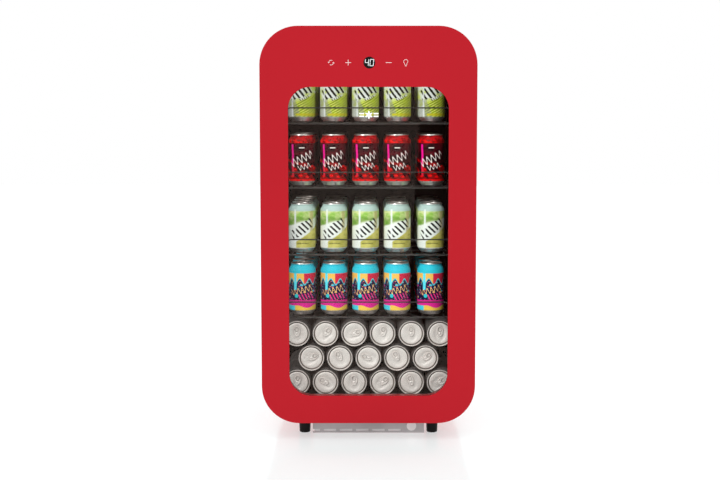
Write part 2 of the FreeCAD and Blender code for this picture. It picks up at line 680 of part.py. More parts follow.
def make_compressor():
    x, y = "-compressor_side", "compressor_deep"
    pot = turned("compressor_pot", [
        ("0", "compressor_low + 2"), ("compressor_radius - 12", "compressor_low + 2"),
        ("compressor_radius", "compressor_low + 14"), ("compressor_radius", "compressor_low + 50"),
        ("compressor_radius + 2.5", "compressor_low + 50"),
        ("compressor_radius + 2.5", "compressor_low + 54"),
        ("compressor_radius", "compressor_low + 54"), ("compressor_radius", "compressor_high - 22"),
        ("compressor_radius - 12", "compressor_high - 6"), ("0", "compressor_high")])
    place(pot, x, y, "0")
    plate = box("compressor_foot_plate", (x + " - 60", x + " + 60"), (y + " - 45", y + " + 45"),
                ("compressor_low", "compressor_low + 2"))
    keep("compressor", fuse("compressor", [pot, plate]))

    floor = "door_low + shell_inset + shell_thick + base_plate_thick"
    keep("compressor_mounts", gather("compressor_mounts", [
        rod("compressor_mount_%d" % (2 * i + j), "z", "7", x + side, y + deep, (floor, "compressor_low"))
        for i, side in enumerate((" - 51", " + 51")) for j, deep in enumerate((" - 36", " + 36"))]))
    keep("relay_cover", box("relay_cover", (x + " + compressor_radius + 3",
                                            x + " + compressor_radius + 20"),
                            (y + " - 20", y + " + 20"), ("compressor_low + 30", "compressor_low + 78")))

    side = sheet.tube_inlet_side
    top = sheet.tube_inlet_high
    stub = V(-sheet.compressor_side - 18, sheet.compressor_deep, sheet.compressor_high - 1)
    shaped("discharge_pipe", bent_rod([stub, V(stub.x, stub.y, top), V(-side, stub.y, top),
                                       V(-side, sheet.tube_inlet_deep - 0.2, top)],
                                       [10, 10], sheet.tube_radius))

    drier_y = 186
    drum = turned("drier_drum", [("0", "70"), ("4", "72"), ("9", "82"), ("9", "152"), ("4", "164"),
                                 ("0", "166")])
    place(drum, "tube_inlet_side", str(drier_y), "0")
    drum_pipe = doc.addObject("Part::Feature", "drier_pipe")
    drum_pipe.Shape = bent_rod([V(side, drier_y, 160), V(side, drier_y, top),
                                V(side, sheet.tube_inlet_deep - 0.2, top)], [10], sheet.tube_radius)
    keep("filter_drier", fuse("filter_drier", [drum, drum_pipe]))

    low = floor + " + 0.2"
    outer = box("power_box_outside", ("18", "92"), ("bay_front + 12", "cabinet_back - 25"),
                (low, low + " + 62"))
    inner = box("power_box_inside", ("20", "90"), ("bay_front + 14", "cabinet_back - 27"),
                (low + " + 2", low + " + 63"))
    keep("power_board_box", cut("power_board_box", outer, [inner]))


def make_cable_gland():
    end = COVER_BACK + " + 3"
    start = end + " - gland_long"
    barrel = rod("gland_barrel", "y", "gland_bore + 2", "gland_side", (start, end), "gland_high")
    flange = rod("gland_flange", "y", "gland_bore + 5", "gland_side", (COVER_BACK, end), "gland_high")
    bore = rod("gland_bore_hole", "y", "gland_bore", "gland_side", (start + " - 1", end + " + 1"),
               "gland_high")
    keep("cable_gland", cut("cable_gland", fuse("gland_solid", [barrel, flange]), [bore]))


def make_duct():
    keep("evaporator_plate", box("evaporator_plate", ("-duct_half + 8", "duct_half - 8"),
                                 ("room_back - 6", "room_back - 4.5"),
                                 ("duct_low + 10", "fan_high - fan_opening")))
    back = "duct_front + duct_sheet"
    pieces = [box("duct_face", ("-duct_half", "duct_half"), ("duct_front", back),
                  ("duct_low", "duct_high"))]
    for word, low, high in (("left", "-duct_half", "-duct_half + duct_sheet"),
                            ("right", "duct_half - duct_sheet", "duct_half")):
        pieces.append(box("duct_hem_" + word, (low, high), ("duct_front", "room_back - fit_gap"),
                          ("duct_low", "duct_high")))
    pieces.append(box("duct_hem_top", ("-duct_half", "duct_half"), ("duct_front", "room_back - fit_gap"),
                      ("duct_high - duct_sheet", "duct_high")))
    openings = [rod("duct_fan_hole", "y", "fan_opening", "0", ("duct_front - 1", back + " + 1"),
                    "fan_high")]
    for column in range(-3, 4):
        openings.append(box("duct_slot_%d" % (column + 3), (str(column * 46 - 18), str(column * 46 + 18)),
                            ("duct_front - 1", back + " + 1"), ("duct_low + 20", "duct_low + 26")))
    keep("duct_cover", cut("duct_cover", fuse("duct_shell", pieces), openings))


def make_fan():
    rings = []
    for number, outer in enumerate(("fan_opening - fit_gap", "fan_opening - 13", "fan_opening - 26")):
        disc = rod("grille_disc_%d" % number, "y", outer, "0", ("duct_front", "duct_front + duct_sheet"),
                   "fan_high")
        hole = rod("grille_hole_%d" % number, "y", outer + " - 2.5", "0",
                   ("duct_front - 1", "duct_front + duct_sheet + 1"), "fan_high")
        rings.append(cut("grille_ring_%d" % number, disc, [hole]))
    rings.append(rod("grille_hub", "y", "9", "0", ("duct_front", "duct_front + duct_sheet"), "fan_high"))
    reach = "fan_opening - 1"
    rings.append(box("grille_spoke_flat", ("-(%s)" % reach, reach),
                     ("duct_front", "duct_front + duct_sheet"),
                     ("fan_high - 1.2", "fan_high + 1.2")))
    rings.append(box("grille_spoke_tall", ("-1.2", "1.2"), ("duct_front", "duct_front + duct_sheet"),
                     ("fan_high - (%s)" % reach, "fan_high + (%s)" % reach)))
    keep("fan_grille", fuse("fan_grille", rings))

    body = rod("fan_motor_body", "y", "motor_radius", "0", ("fan_back + 1.5", "room_back - fit_gap"),
               "fan_high")
    bore = rod("fan_motor_bore", "y", "shaft_radius + running_gap", "0", ("fan_back", "fan_back + 11"),
               "fan_high")
    keep("fan_motor", cut("fan_motor", body, [bore]))

    hub = Part.makeCylinder(sheet.fan_hub, sheet.fan_back - sheet.fan_front, V(0, sheet.fan_front, 0),
                            V(0, 1, 0))
    shaft = Part.makeCylinder(sheet.shaft_radius, 10, V(0, sheet.fan_back - 1, 0), V(0, 1, 0))
    chord, thick, pitch_angle = 11, 1.5, 38
    length = sheet.fan_radius - sheet.fan_hub + 1
    blade = Part.makeBox(length, chord, thick, V(sheet.fan_hub - 1.5, -chord / 2, -thick / 2))
    blade.rotate(V(), V(1, 0, 0), pitch_angle)
    blade.translate(V(0, (sheet.fan_front + sheet.fan_back) / 2, 0))
    solid = hub.fuse(shaft)
    count = int(sheet.fan_blades)
    for number in range(count):
        turned_blade = blade.copy()
        turned_blade.rotate(V(), V(0, 1, 0), 360 / count * number)
        solid = solid.fuse(turned_blade)
    shaped("fan_impeller", solid, V(0, 0, sheet.fan_high))


def make_lamp():
    top = "room_ceiling"
    housing = box("lamp_block", ("-lamp_half", "lamp_half"), ("-lamp_front", "-lamp_front + 22"),
                  (top + " - 8", top))
    channel = box("lamp_channel", ("-lamp_half + 3", "lamp_half - 3"),
                  ("-lamp_front + 3", "-lamp_front + 19"),
                  (top + " - 9", top + " - 5"))
    keep("led_housing", cut("led_housing", housing, [channel]))
    keep("led_lens", box("led_lens", ("-lamp_half + 3.1", "lamp_half - 3.1"),
                         ("-lamp_front + 3.1", "-lamp_front + 18.9"),
                         (top + " - 8", top + " - 5.1")))


# ---------------------------------------------------------------------------------------------------
# Hinges
# ---------------------------------------------------------------------------------------------------
HINGES = (("top", "hinge_high", "hinge_high + tongue_thick"),
          ("bottom", "hinge_low - tongue_thick", "hinge_low"))


def make_hinge_brackets():
    pins = []
    for word, low, high in HINGES:
        if word == "top":
            plate_low, plate_high = high + " - bracket_tall", high
            pin_low, pin_high = low + " - pin_long", high
            head_low, head_high = high, high + " + 1.3"
        else:
            plate_low, plate_high = low, low + " + bracket_tall"
            pin_low, pin_high = low, high + " + pin_long"
            head_low, head_high = low + " - 1.3", low
        plate = box("bracket_plate_" + word, ("hinge_side - tongue_half", "hinge_side + tongue_half + 1"),
                    (BRACKET_FRONT, CABINET_FRONT), (plate_low, plate_high))
        tongue = box("bracket_tongue_" + word, ("hinge_side - tongue_half", "hinge_side + tongue_half"),
                     (HINGE_AXIS, CABINET_FRONT), (low, high))
        nose = rod("bracket_nose_" + word, "z", "tongue_half", "hinge_side", HINGE_AXIS, (low, high))
        pin_hole = rod("bracket_pin_hole_" + word, "z", "pin_radius + running_gap", "hinge_side", HINGE_AXIS,
                       (low + " - 1", high + " + 1"))
        holes = hinge_screw_holes("bracket", BRACKET_FRONT + " - 1", CABINET_FRONT + " + 1", (word,))
        solid = fuse("bracket_solid_" + word, [plate, tongue, nose])
        keep("hinge_bracket_" + word, cut("hinge_bracket_" + word, solid, [pin_hole] + holes))
        shank = rod("pin_shank_" + word, "z", "pin_radius", "hinge_side", HINGE_AXIS, (pin_low, pin_high))
        head = rod("pin_head_" + word, "z", "pin_radius + 2", "hinge_side", HINGE_AXIS,
                   (head_low, head_high))
        pins.append(fuse("hinge_pin_" + word, [shank, head]))
    keep("hinge_pins", gather("hinge_pins", pins))


def bush_span(word, low, high):
    """The bottom and top of a bush, which starts next to its hinge slot."""
    if word == "top":
        edge = low + " - slot_clear"
        return edge + " - 2 - bush_long", edge + " - 2", edge
    edge = high + " + slot_clear"
    return edge + " + 2", edge + " + 2 + bush_long", edge


def make_hinge_bushes():
    bushes = []
    for word, low, high in HINGES:
        bottom, top, edge = bush_span(word, low, high)
        tube = rod("bush_tube_" + word, "z", "bush_radius", "hinge_side", HINGE_AXIS, (bottom, top))
        bore = rod("bush_bore_" + word, "z", "pin_radius + running_gap", "hinge_side", HINGE_AXIS,
                   (bottom + " - 1", top + " + 1"))
        bushes.append(cut("hinge_bush_" + word, tube, [bore]))
    keep("hinge_bushes", gather("hinge_bushes", bushes))


def hinge_slots(name):
    return [box("%s_hinge_slot_%s" % (name, word),
                ("hinge_side - tongue_half - 5", "overall_width / 2 + 1"),
                (DOOR_FRONT + " + hinge_back - 15", DOOR_BACK + " + 1"),
                (low + " - slot_clear", high + " + slot_clear"))
            for word, low, high in HINGES]


# ---------------------------------------------------------------------------------------------------
# Door
# ---------------------------------------------------------------------------------------------------
def make_door_glass():
    keep("door_glass", slab("door_glass", DOOR, DOOR_FRONT, GLASS_BACK))
    ring = slab("border_ring", inset(DOOR, "0.3"), GLASS_BACK, FILM_BACK, WINDOW)
    hole = rod("border_display_hole", "y", "display_radius + 0.1", "display_side",
               (GLASS_BACK + " - 1", FILM_BACK + " + 1"),
               "display_height")
    keep("door_border", cut("door_border", ring, [hole]))
    keep("display_window", rod("display_window", "y", "display_radius", "display_side",
                               (GLASS_BACK, FILM_BACK),
                               "display_height"))


def make_door_frame():
    ring = slab("frame_ring", FRAME, FILM_BACK, FRAME_BACK, FRAME_OPENING)
    rebate = slab("frame_rebate", inset(INNER_GLASS, "-1"), FILM_BACK + " - 1", INNER_GLASS_BACK)
    pocket = box("display_pocket", ("-pocket_half", "pocket_half"), (FILM_BACK + " - 1", POCKET_BACK),
                 ("display_height - 31", "display_height + 34"))
    pull = box("finger_pull", ("-overall_width / 2 - 1", "-overall_width / 2 + frame_inset + pull_depth"),
               (DOOR_FRONT + " + pull_front", DOOR_FRONT + " + pull_front + pull_width"),
               ("pull_low", "pull_high"))
    bores = []
    for word, low, high in HINGES:
        bottom, top, edge = bush_span(word, low, high)
        span = (bottom, edge + " + 1") if word == "top" else (edge + " - 1", top)
        bores.append(rod("frame_bush_bore_" + word, "z", "bush_radius", "hinge_side", HINGE_AXIS, span))
    tools = [rebate, pocket, pull] + [fuse("frame_hinge_room", hinge_slots("frame") + bores)]
    tools += door_screw_holes("frame", DOOR_BACK + " - screw_long - 1", DOOR_BACK)
    keep("door_frame", cut("door_frame", ring, [fuse("frame_cuts", tools)]))
    panel = slab("back_panel_ring", FRAME, FRAME_BACK, DOOR_BACK, FRAME_OPENING)
    keep("door_back_panel", cut("door_back_panel", panel, hinge_slots("panel")
                                + door_screw_holes("panel", FRAME_BACK + " - 1", DOOR_BACK + " + 1")))


def make_glazing():
    keep("inner_glass", slab("inner_glass", INNER_GLASS, INNER_GLASS_FRONT, INNER_GLASS_BACK))
    keep("glazing_spacer", slab("glazing_spacer", INNER_GLASS, FILM_BACK, INNER_GLASS_FRONT,
                                inset(INNER_GLASS, "spacer_width")))
    keep("door_gasket", slab("door_gasket", GASKET_OUTSIDE, DOOR_BACK, CABINET_FRONT + " - 0.3",
                             GASKET_INSIDE))


def make_display():
    front = FILM_BACK + " + 4.6"
    board = box("display_board", ("-pocket_half + 5", "pocket_half - 5"), (front, front + " + 1.6"),
                ("display_height - 24", "display_height + 26"))
    block = box("display_block", ("display_side - 17", "display_side + 17"), (FILM_BACK + " + 0.1", front),
                ("display_height - 14", "display_height + 14"))
    keep("display_module", fuse("display_module", [board, block]))
    springs = []
    for number, side in enumerate(("-touch_far", "-touch_near", "touch_near", "touch_far")):
        span = (FILM_BACK + " + 0.1", front)
        coil = rod("touch_coil_%d" % number, "y", "touch_spring_radius", side, span, "display_height")
        core = rod("touch_core_%d" % number, "y", "touch_spring_radius - 1", side,
                   (FILM_BACK + " - 1", front + " + 1"), "display_height")
        springs.append(cut("touch_spring_%d" % number, coil, [core]))
    keep("touch_springs", gather("touch_springs", springs))


# ---------------------------------------------------------------------------------------------------
# Shelves and cans
# ---------------------------------------------------------------------------------------------------
def can_shape(name, radius, tall):
    """One closed can: domed base, straight wall, shoulder and a lid sunk inside its rim."""
    base, neck = radius + " * 0.73", radius + " * 0.82"
    body = turned(name, [
        ("0", "4"), (base + " - 4", "4"), (base + " - 2", "0"), (base, "0"), (radius, "10"),
        (radius, tall + " - 14"), (neck, tall + " - 3"), (neck, tall), (neck + " - 2", tall),
        (neck + " - 4", tall + " - 4"), ("0", tall + " - 4")])
    doc.recompute()
    return body.Shape


def make_shelf(number, can):
    """One wire shelf, its guard wire and its cans."""
    height = getattr(sheet, "shelf_high_%d" % number)
    half, front, back = sheet.shelf_half, -sheet.shelf_front, sheet.shelf_back
    thick, thin = sheet.shelf_rod, sheet.shelf_wire
    corner = 10
    outline = [V(0, front, height), V(half, front, height), V(half, back, height), V(-half, back, height),
               V(-half, front, height), V(0, front, height)]
    rods = [bent_rod(outline, [corner] * 4, thick)]
    wire_high = height + thick + thin - 1.1
    count = int(sheet.shelf_wires)
    reach = half - 2 * corner
    for i in range(count):
        x = -reach + 2 * reach * i / (count - 1)
        rods.append(Part.makeCylinder(thin, back - front + 1, V(x, front - 0.5, wire_high), V(0, 1, 0)))
    for share in (0.33, 0.67):
        y = front + (back - front) * share
        rods.append(Part.makeCylinder(2, 2 * half, V(-half, y, height - 0.3), V(1, 0, 0)))
    shaped("shelf_%d" % number, rods[0].multiFuse(rods[1:]))

    guard_half = half - 8
    top = height + sheet.guard_rise
    foot = height + thick + 0.1
    path = [V(-guard_half, front, foot), V(-guard_half, front, top), V(guard_half, front, top),
            V(guard_half, front, foot)]
    shaped("guard_%d" % number, bent_rod(path, [corner, corner], thin))

    floor = wire_high + thin + 0.2
    wide, deep = int(sheet.cans_wide), int(sheet.cans_deep)
    columns = [sheet.can_first_column + i * sheet.can_pitch_wide for i in range(wide)]
    columns[-1] += sheet.can_last_extra
    shaped("cans_%d" % number, copies(can, [
        FreeCAD.Placement(V(column, -sheet.can_front_row + j * sheet.can_pitch_deep, floor),
                          FreeCAD.Rotation())
        for column in columns for j in range(deep)]))


def make_lying_cans(can):
    """Three layers of lying cans, lids to the front, two cans deep; each layer rests in the gaps below."""
    pitch = sheet.lying_pitch
    rise = pitch * math.sqrt(3) / 2
    lids_forward = FreeCAD.Rotation(V(1, 0, 0), 90)
    places = []
    for layer, count in enumerate((6, 5, 6)):
        height = sheet.room_floor + sheet.lying_radius + 0.15 + layer * rise
        for i in range(count):
            x = (i - (count - 1) / 2) * pitch
            for row in range(2):
                base = -sheet.lying_front + sheet.lying_tall + row * (sheet.lying_tall + sheet.lying_gap)
                places.append(FreeCAD.Placement(V(x, base, height), lids_forward))
    shaped("lying_cans", copies(can, places))


# ---------------------------------------------------------------------------------------------------
# Build, check and write
# ---------------------------------------------------------------------------------------------------
make_cabinet_shell()
make_liner_and_foam()
make_rear()
make_base_plate()
make_kick_plate()
make_rear_feet()
make_front_feet()
make_screws()
make_condenser()
make_compressor()
make_cable_gland()
make_duct()
make_fan()
make_lamp()
make_hinge_brackets()
make_hinge_bushes()
make_door_glass()
make_door_frame()
make_glazing()
make_display()
for shelf_number in range(1, 5):
    can_name = "standing_can_%d" % shelf_number
    make_shelf(shelf_number, can_shape(can_name, "can_radius", "can_tall_%d" % shelf_number))
make_lying_cans(can_shape("lying_can", "lying_radius", "lying_tall"))

doc.recompute()
for thing in doc.Objects:
    if "Invalid" in thing.State or "Error" in thing.State:
        raise RuntimeError("%s: %s" % (thing.Name, thing.State))
for subpart in subparts:
    if subpart.Shape.isNull() or not subpart.Shape.isValid():
        raise RuntimeError("%s has no valid shape" % subpart.Label)
    if not subpart.Shape.Solids:
        raise RuntimeError("%s has no solid" % subpart.Label)

os.makedirs("parts", exist_ok=True)
for subpart in subparts:
    subpart.Shape.exportStep(os.path.join("parts", subpart.Label + ".step"))
    print("%s: %d solids, %.0f mm3" % (subpart.Label, len(subpart.Shape.Solids), subpart.Shape.Volume))
print(len(subparts), "sub-parts")
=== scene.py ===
import math
import random

import bmesh
import bpy
import numpy as np
from mathutils import Matrix, Vector


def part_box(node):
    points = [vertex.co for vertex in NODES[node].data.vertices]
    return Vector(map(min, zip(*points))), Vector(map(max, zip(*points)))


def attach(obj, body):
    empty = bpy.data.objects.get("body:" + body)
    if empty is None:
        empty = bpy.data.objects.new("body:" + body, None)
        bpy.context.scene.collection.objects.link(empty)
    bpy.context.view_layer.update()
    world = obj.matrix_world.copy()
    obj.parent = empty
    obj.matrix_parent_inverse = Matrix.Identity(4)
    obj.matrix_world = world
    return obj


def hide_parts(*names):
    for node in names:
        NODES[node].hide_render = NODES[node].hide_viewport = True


# A glass-door drinks cooler full of cans. Metres, in the CAD frame: -Y is the front and +Z is up.
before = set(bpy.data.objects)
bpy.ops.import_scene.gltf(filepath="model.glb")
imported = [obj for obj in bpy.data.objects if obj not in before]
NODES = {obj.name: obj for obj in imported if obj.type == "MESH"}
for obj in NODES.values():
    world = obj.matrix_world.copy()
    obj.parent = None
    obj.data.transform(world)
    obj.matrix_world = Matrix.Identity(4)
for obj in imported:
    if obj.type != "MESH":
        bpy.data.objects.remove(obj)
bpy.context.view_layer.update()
MM = 0.001

# Places that the rest is worked out from
DOOR_LOW, DOOR_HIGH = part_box("door_glass")
DOOR_FRONT = DOOR_LOW.y
DOOR_CORNER = 85 * MM
INNER_LOW, INNER_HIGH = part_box("inner_glass")
GLASS_MARGIN = 18.5 * MM
WINDOW_HALF = INNER_HIGH.x - GLASS_MARGIN
WINDOW_LOW = INNER_LOW.z + GLASS_MARGIN
WINDOW_HIGH = INNER_HIGH.z - GLASS_MARGIN
WINDOW_CORNER = 49 * MM
CONTROL_HEIGHT = sum(p.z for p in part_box("display_window")) / 2
CONTROL_MIDDLE = sum(p.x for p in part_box("display_window")) / 2


# ---------------------------------------------------------------------------------------------------
# Materials: patterns are written as arithmetic on fields
# ---------------------------------------------------------------------------------------------------
def display(red, green, blue):
    """A colour given as 0 to 255 on a display, as the linear colour that a shader takes."""
    values = [v / 255 for v in (red, green, blue)]
    return tuple(((v + 0.055) / 1.055) ** 2.4 if v > 0.04045 else v / 12.92 for v in values) + (1.0,)


class Field:
    """A number or colour that varies over a surface. Arithmetic on it adds nodes to its material."""

    def __init__(self, paint, socket):
        self.paint, self.socket = paint, socket

    def __add__(self, other):
        return self.paint.math("ADD", self, other)

    def __sub__(self, other):
        return self.paint.math("SUBTRACT", self, other)

    def __rsub__(self, other):
        return self.paint.math("SUBTRACT", other, self)

    def __mul__(self, other):
        return self.paint.math("MULTIPLY", self, other)

    def __truediv__(self, other):
        return self.paint.math("DIVIDE", self, other)

    def __abs__(self):
        return self.paint.math("ABSOLUTE", self)

    __radd__, __rmul__ = __add__, __mul__


class Paint:
    """A material under construction: one Principled shader and the nodes that feed it."""

    def __init__(self, name, colour, rough=0.5, **constants):
        self.material = bpy.data.materials.new(name)
        self.material.use_nodes = True
        self.tree = self.material.node_tree
        self.shader = self.tree.nodes["Principled BSDF"]
        self.colour = colour
        self.set("Base Color", colour)
        self.set("Roughness", rough)
        for socket, value in constants.items():
            self.set(socket.replace("_", " "), value)

    def node(self, kind, **inputs):
        made = self.tree.nodes.new(kind)
        for name, value in inputs.items():
            self.feed(made.inputs[name.replace("_", " ")], value)
        return made

    def feed(self, socket, value):
        if isinstance(value, Field):
            self.tree.links.new(value.socket, socket)
        else:
            socket.default_value = value

    def set(self, name, value):
        self.feed(self.shader.inputs[name], value)

    def math(self, operation, *values):
        made = self.tree.nodes.new("ShaderNodeMath")
        made.operation = operation
        for socket, value in zip(made.inputs, values):
            self.feed(socket, value)
        return Field(self, made.outputs[0])

    def place(self, kind="Object", stretch=(1, 1, 1)):
        """A place on the surface, as one field: in metres for Object, from 0 to 1 for UV."""
        made = self.tree.nodes.new("ShaderNodeTexCoord")
        where = Field(self, made.outputs[kind])
        if stretch == (1, 1, 1):
            return where
        return Field(self, self.node("ShaderNodeMapping", Vector=where, Scale=stretch).outputs[0])

    def split(self, place):
        made = self.node("ShaderNodeSeparateXYZ", Vector=place)
        return [Field(self, socket) for socket in made.outputs]

    def noise(self, scale, detail=2.0, stretch=(1, 1, 1), place=None):
        where = place or self.place("Object", stretch)
        made = self.node("ShaderNodeTexNoise", Vector=where, Scale=scale, Detail=detail)
        return Field(self, made.outputs["Fac"])

    def cells(self, scale, place=None, output="Distance"):
        made = self.node("ShaderNodeTexVoronoi", Vector=place or self.place(), Scale=scale)
        return Field(self, made.outputs[output])

    def over(self, field, edge, soft):
        """0 where the field is below the edge and 1 above it, smooth over the soft width."""
        made = self.node("ShaderNodeMapRange", Value=field, From_Min=edge - soft, From_Max=edge + soft)
        made.interpolation_type = "SMOOTHSTEP"
        return Field(self, made.outputs[0])

    def under(self, field, edge, soft):
        return 1 - self.over(field, edge, soft)

    def spread(self, field, low, high, start=0.3, end=0.7):
        """The field's usual range from start to end, stretched to run from low to high."""
        made = self.node("ShaderNodeMapRange", Value=field, From_Min=start, From_Max=end, To_Min=low,
                         To_Max=high)
        return Field(self, made.outputs[0])

    def mix(self, mask, below, above):
        made = self.tree.nodes.new("ShaderNodeMix")
        made.data_type = "RGBA"
        for index, value in ((0, mask), (6, below), (7, above)):
            self.feed(made.inputs[index], value)
        return Field(self, made.outputs[2])

    def coat(self, mask, colour):
        """Paints this colour over what is there, where the mask is 1."""
        self.colour = self.mix(mask, self.colour, colour)
        self.set("Base Color", self.colour)

    def bump(self, height, distance):
        made = self.node("ShaderNodeBump", Height=height, Distance=distance)
        self.set("Normal", Field(self, made.outputs[0]))


def shade(colour, share):
    return tuple(v * share for v in colour[:3]) + (1.0,)


def enamel(name, colour, rough=0.3, specular=0.1):
    """Sprayed or printed enamel: even colour, faint orange peel and slight cloudiness in the gloss."""
    paint = Paint(name, colour, Specular_IOR_Level=specular)
    paint.coat(paint.spread(paint.noise(3.0), 0, 1), shade(colour, 0.95))
    paint.set("Roughness", paint.spread(paint.noise(14.0, 1.0), rough - 0.02, rough + 0.05))
    paint.bump(paint.noise(260.0), 0.01 * MM)
    return paint.material


def moulded(name, colour, rough=0.45, grain=0.08, specular=0.4):
    """Moulded plastic with a fine spark-eroded grain."""
    paint = Paint(name, colour, Specular_IOR_Level=specular)
    paint.coat(paint.spread(paint.noise(18.0, 4.0), 0, 1), shade(colour, 0.8))
    paint.set("Roughness", paint.spread(paint.noise(140.0, 3.0), rough - 0.06, rough + 0.08))
    paint.bump(paint.noise(520.0, 3.0), grain * 0.5 * MM)
    return paint.material


def painted_steel(name, colour, rough=0.42, dust=0.12):
    """Powder-coated steel: pebbled coat, and a little dust on it."""
    paint = Paint(name, colour, Specular_IOR_Level=0.45)
    paint.coat(paint.over(paint.noise(45.0, 5.0), 0.55, 0.2) * dust, display(150, 146, 140))
    paint.set("Roughness", paint.spread(paint.noise(320.0, 3.0), rough - 0.08, rough + 0.1))
    paint.bump(paint.noise(1500.0, 2.0), 0.05 * MM)
    return paint.material


def bare_metal(name, colour, rough=0.28, stretch=(1, 1, 40), tarnish=0.85):
    """Drawn or plated metal: fine lines along the stretch and patches of duller metal."""
    paint = Paint(name, colour, Metallic=1.0)
    paint.coat(paint.over(paint.noise(35.0, 5.0), 0.5, 0.2), shade(colour, tarnish))
    lines = paint.noise(1400.0 / max(stretch), 2.0, stretch)
    paint.set("Roughness", paint.spread(lines, rough - 0.07, rough + 0.12))
    paint.bump(lines, 0.02 * MM)
    return paint.material


def rubber(name, colour=(0.018, 0.018, 0.018, 1.0)):
    paint = Paint(name, colour, Specular_IOR_Level=0.3)
    paint.coat(paint.over(paint.noise(70.0, 6.0), 0.6, 0.12) * 0.25, display(120, 116, 110))
    paint.set("Roughness", paint.spread(paint.noise(260.0, 3.0), 0.55, 0.8))
    paint.bump(paint.noise(1100.0, 3.0), 0.06 * MM)
    return paint.material


def foamed(name):
    """Rigid polyurethane foam: yellowed skin and small cells."""
    paint = Paint(name, display(226, 208, 150), 0.9, Specular_IOR_Level=0.15)
    paint.coat(paint.spread(paint.noise(12.0, 5.0), 0, 1), display(196, 168, 104))
    paint.bump(paint.cells(420.0), 0.5 * MM)
    return paint.material


def circuit(name):
    """Circuit board: solder mask with lighter tracks and tinned pads."""
    paint = Paint(name, display(18, 74, 44), 0.35)
    _, _, z = paint.split(paint.place())
    tracks = paint.over(abs(paint.math("PINGPONG", z, 1.6 * MM) - 0.8 * MM), 0.55 * MM, 0.1 * MM)
    paint.coat(tracks * paint.over(paint.noise(60.0), 0.5, 0.02), display(54, 120, 70))
    paint.coat(paint.under(paint.cells(190.0), 0.22, 0.03), display(206, 202, 190))
    paint.bump(tracks, 0.05 * MM)
    return paint.material


def lit_lens(name):
    """Ribbed diffuser of the ceiling lamp, lit by the diodes behind it."""
    paint = Paint(name, display(246, 246, 240), 0.35, Emission_Color=(1.0, 0.97, 0.93, 1.0))
    x, _, _ = paint.split(paint.place())
    diodes = 1 - abs(paint.math("PINGPONG", x, 12 * MM) - 6 * MM) / (6 * MM)
    paint.set("Emission Strength", paint.spread(diodes, 0.8, 1.6, 0.0, 1.0))
    paint.bump(paint.math("PINGPONG", x, 1 * MM), 0.4)
    return paint.material


def clear_pane(name, mirror, tint=(0.985, 0.995, 0.99, 1.0)):
    """Thin clear glass: it shows what is behind it and mirrors a little, more at a slant."""
    paint = Paint(name, tint)
    tree = paint.tree
    tree.nodes.remove(paint.shader)
    wipes = paint.noise(9.0, 4.0, (1, 1, 3))
    gloss = paint.node("ShaderNodeBsdfGlossy", Color=(0.66, 0.45, 0.38, 1.0),
                       Roughness=paint.spread(wipes, 0.0, 0.03))
    clear = paint.node("ShaderNodeBsdfTransparent", Color=tint)
    slant = Field(paint, paint.node("ShaderNodeFresnel", IOR=mirror).outputs[0])
    outside = 1 - Field(paint, tree.nodes.new("ShaderNodeNewGeometry").outputs["Backfacing"])
    both = tree.nodes.new("ShaderNodeMixShader")
    paint.feed(both.inputs[0], slant * outside)
    tree.links.new(clear.outputs[0], both.inputs[1])
    tree.links.new(gloss.outputs[0], both.inputs[2])
    tree.links.new(both.outputs[0], tree.nodes["Material Output"].inputs["Surface"])
    return paint.material


def aluminium(name, colour=(0.82, 0.735, 0.705, 1.0), rough=0.5, metallic=0.5):
    """Bare can metal, with the faint rolling lines of the sheet."""
    paint = Paint(name, colour, Metallic=metallic)
    paint.coat(paint.over(paint.noise(80.0, 4.0), 0.5, 0.2), shade(colour, 0.9))
    lines = paint.noise(120.0, 3.0, (12, 1, 12))
    paint.set("Roughness", paint.spread(lines, rough - 0.06, rough + 0.08))
    paint.bump(lines, 0.03 * MM)
    return paint.material


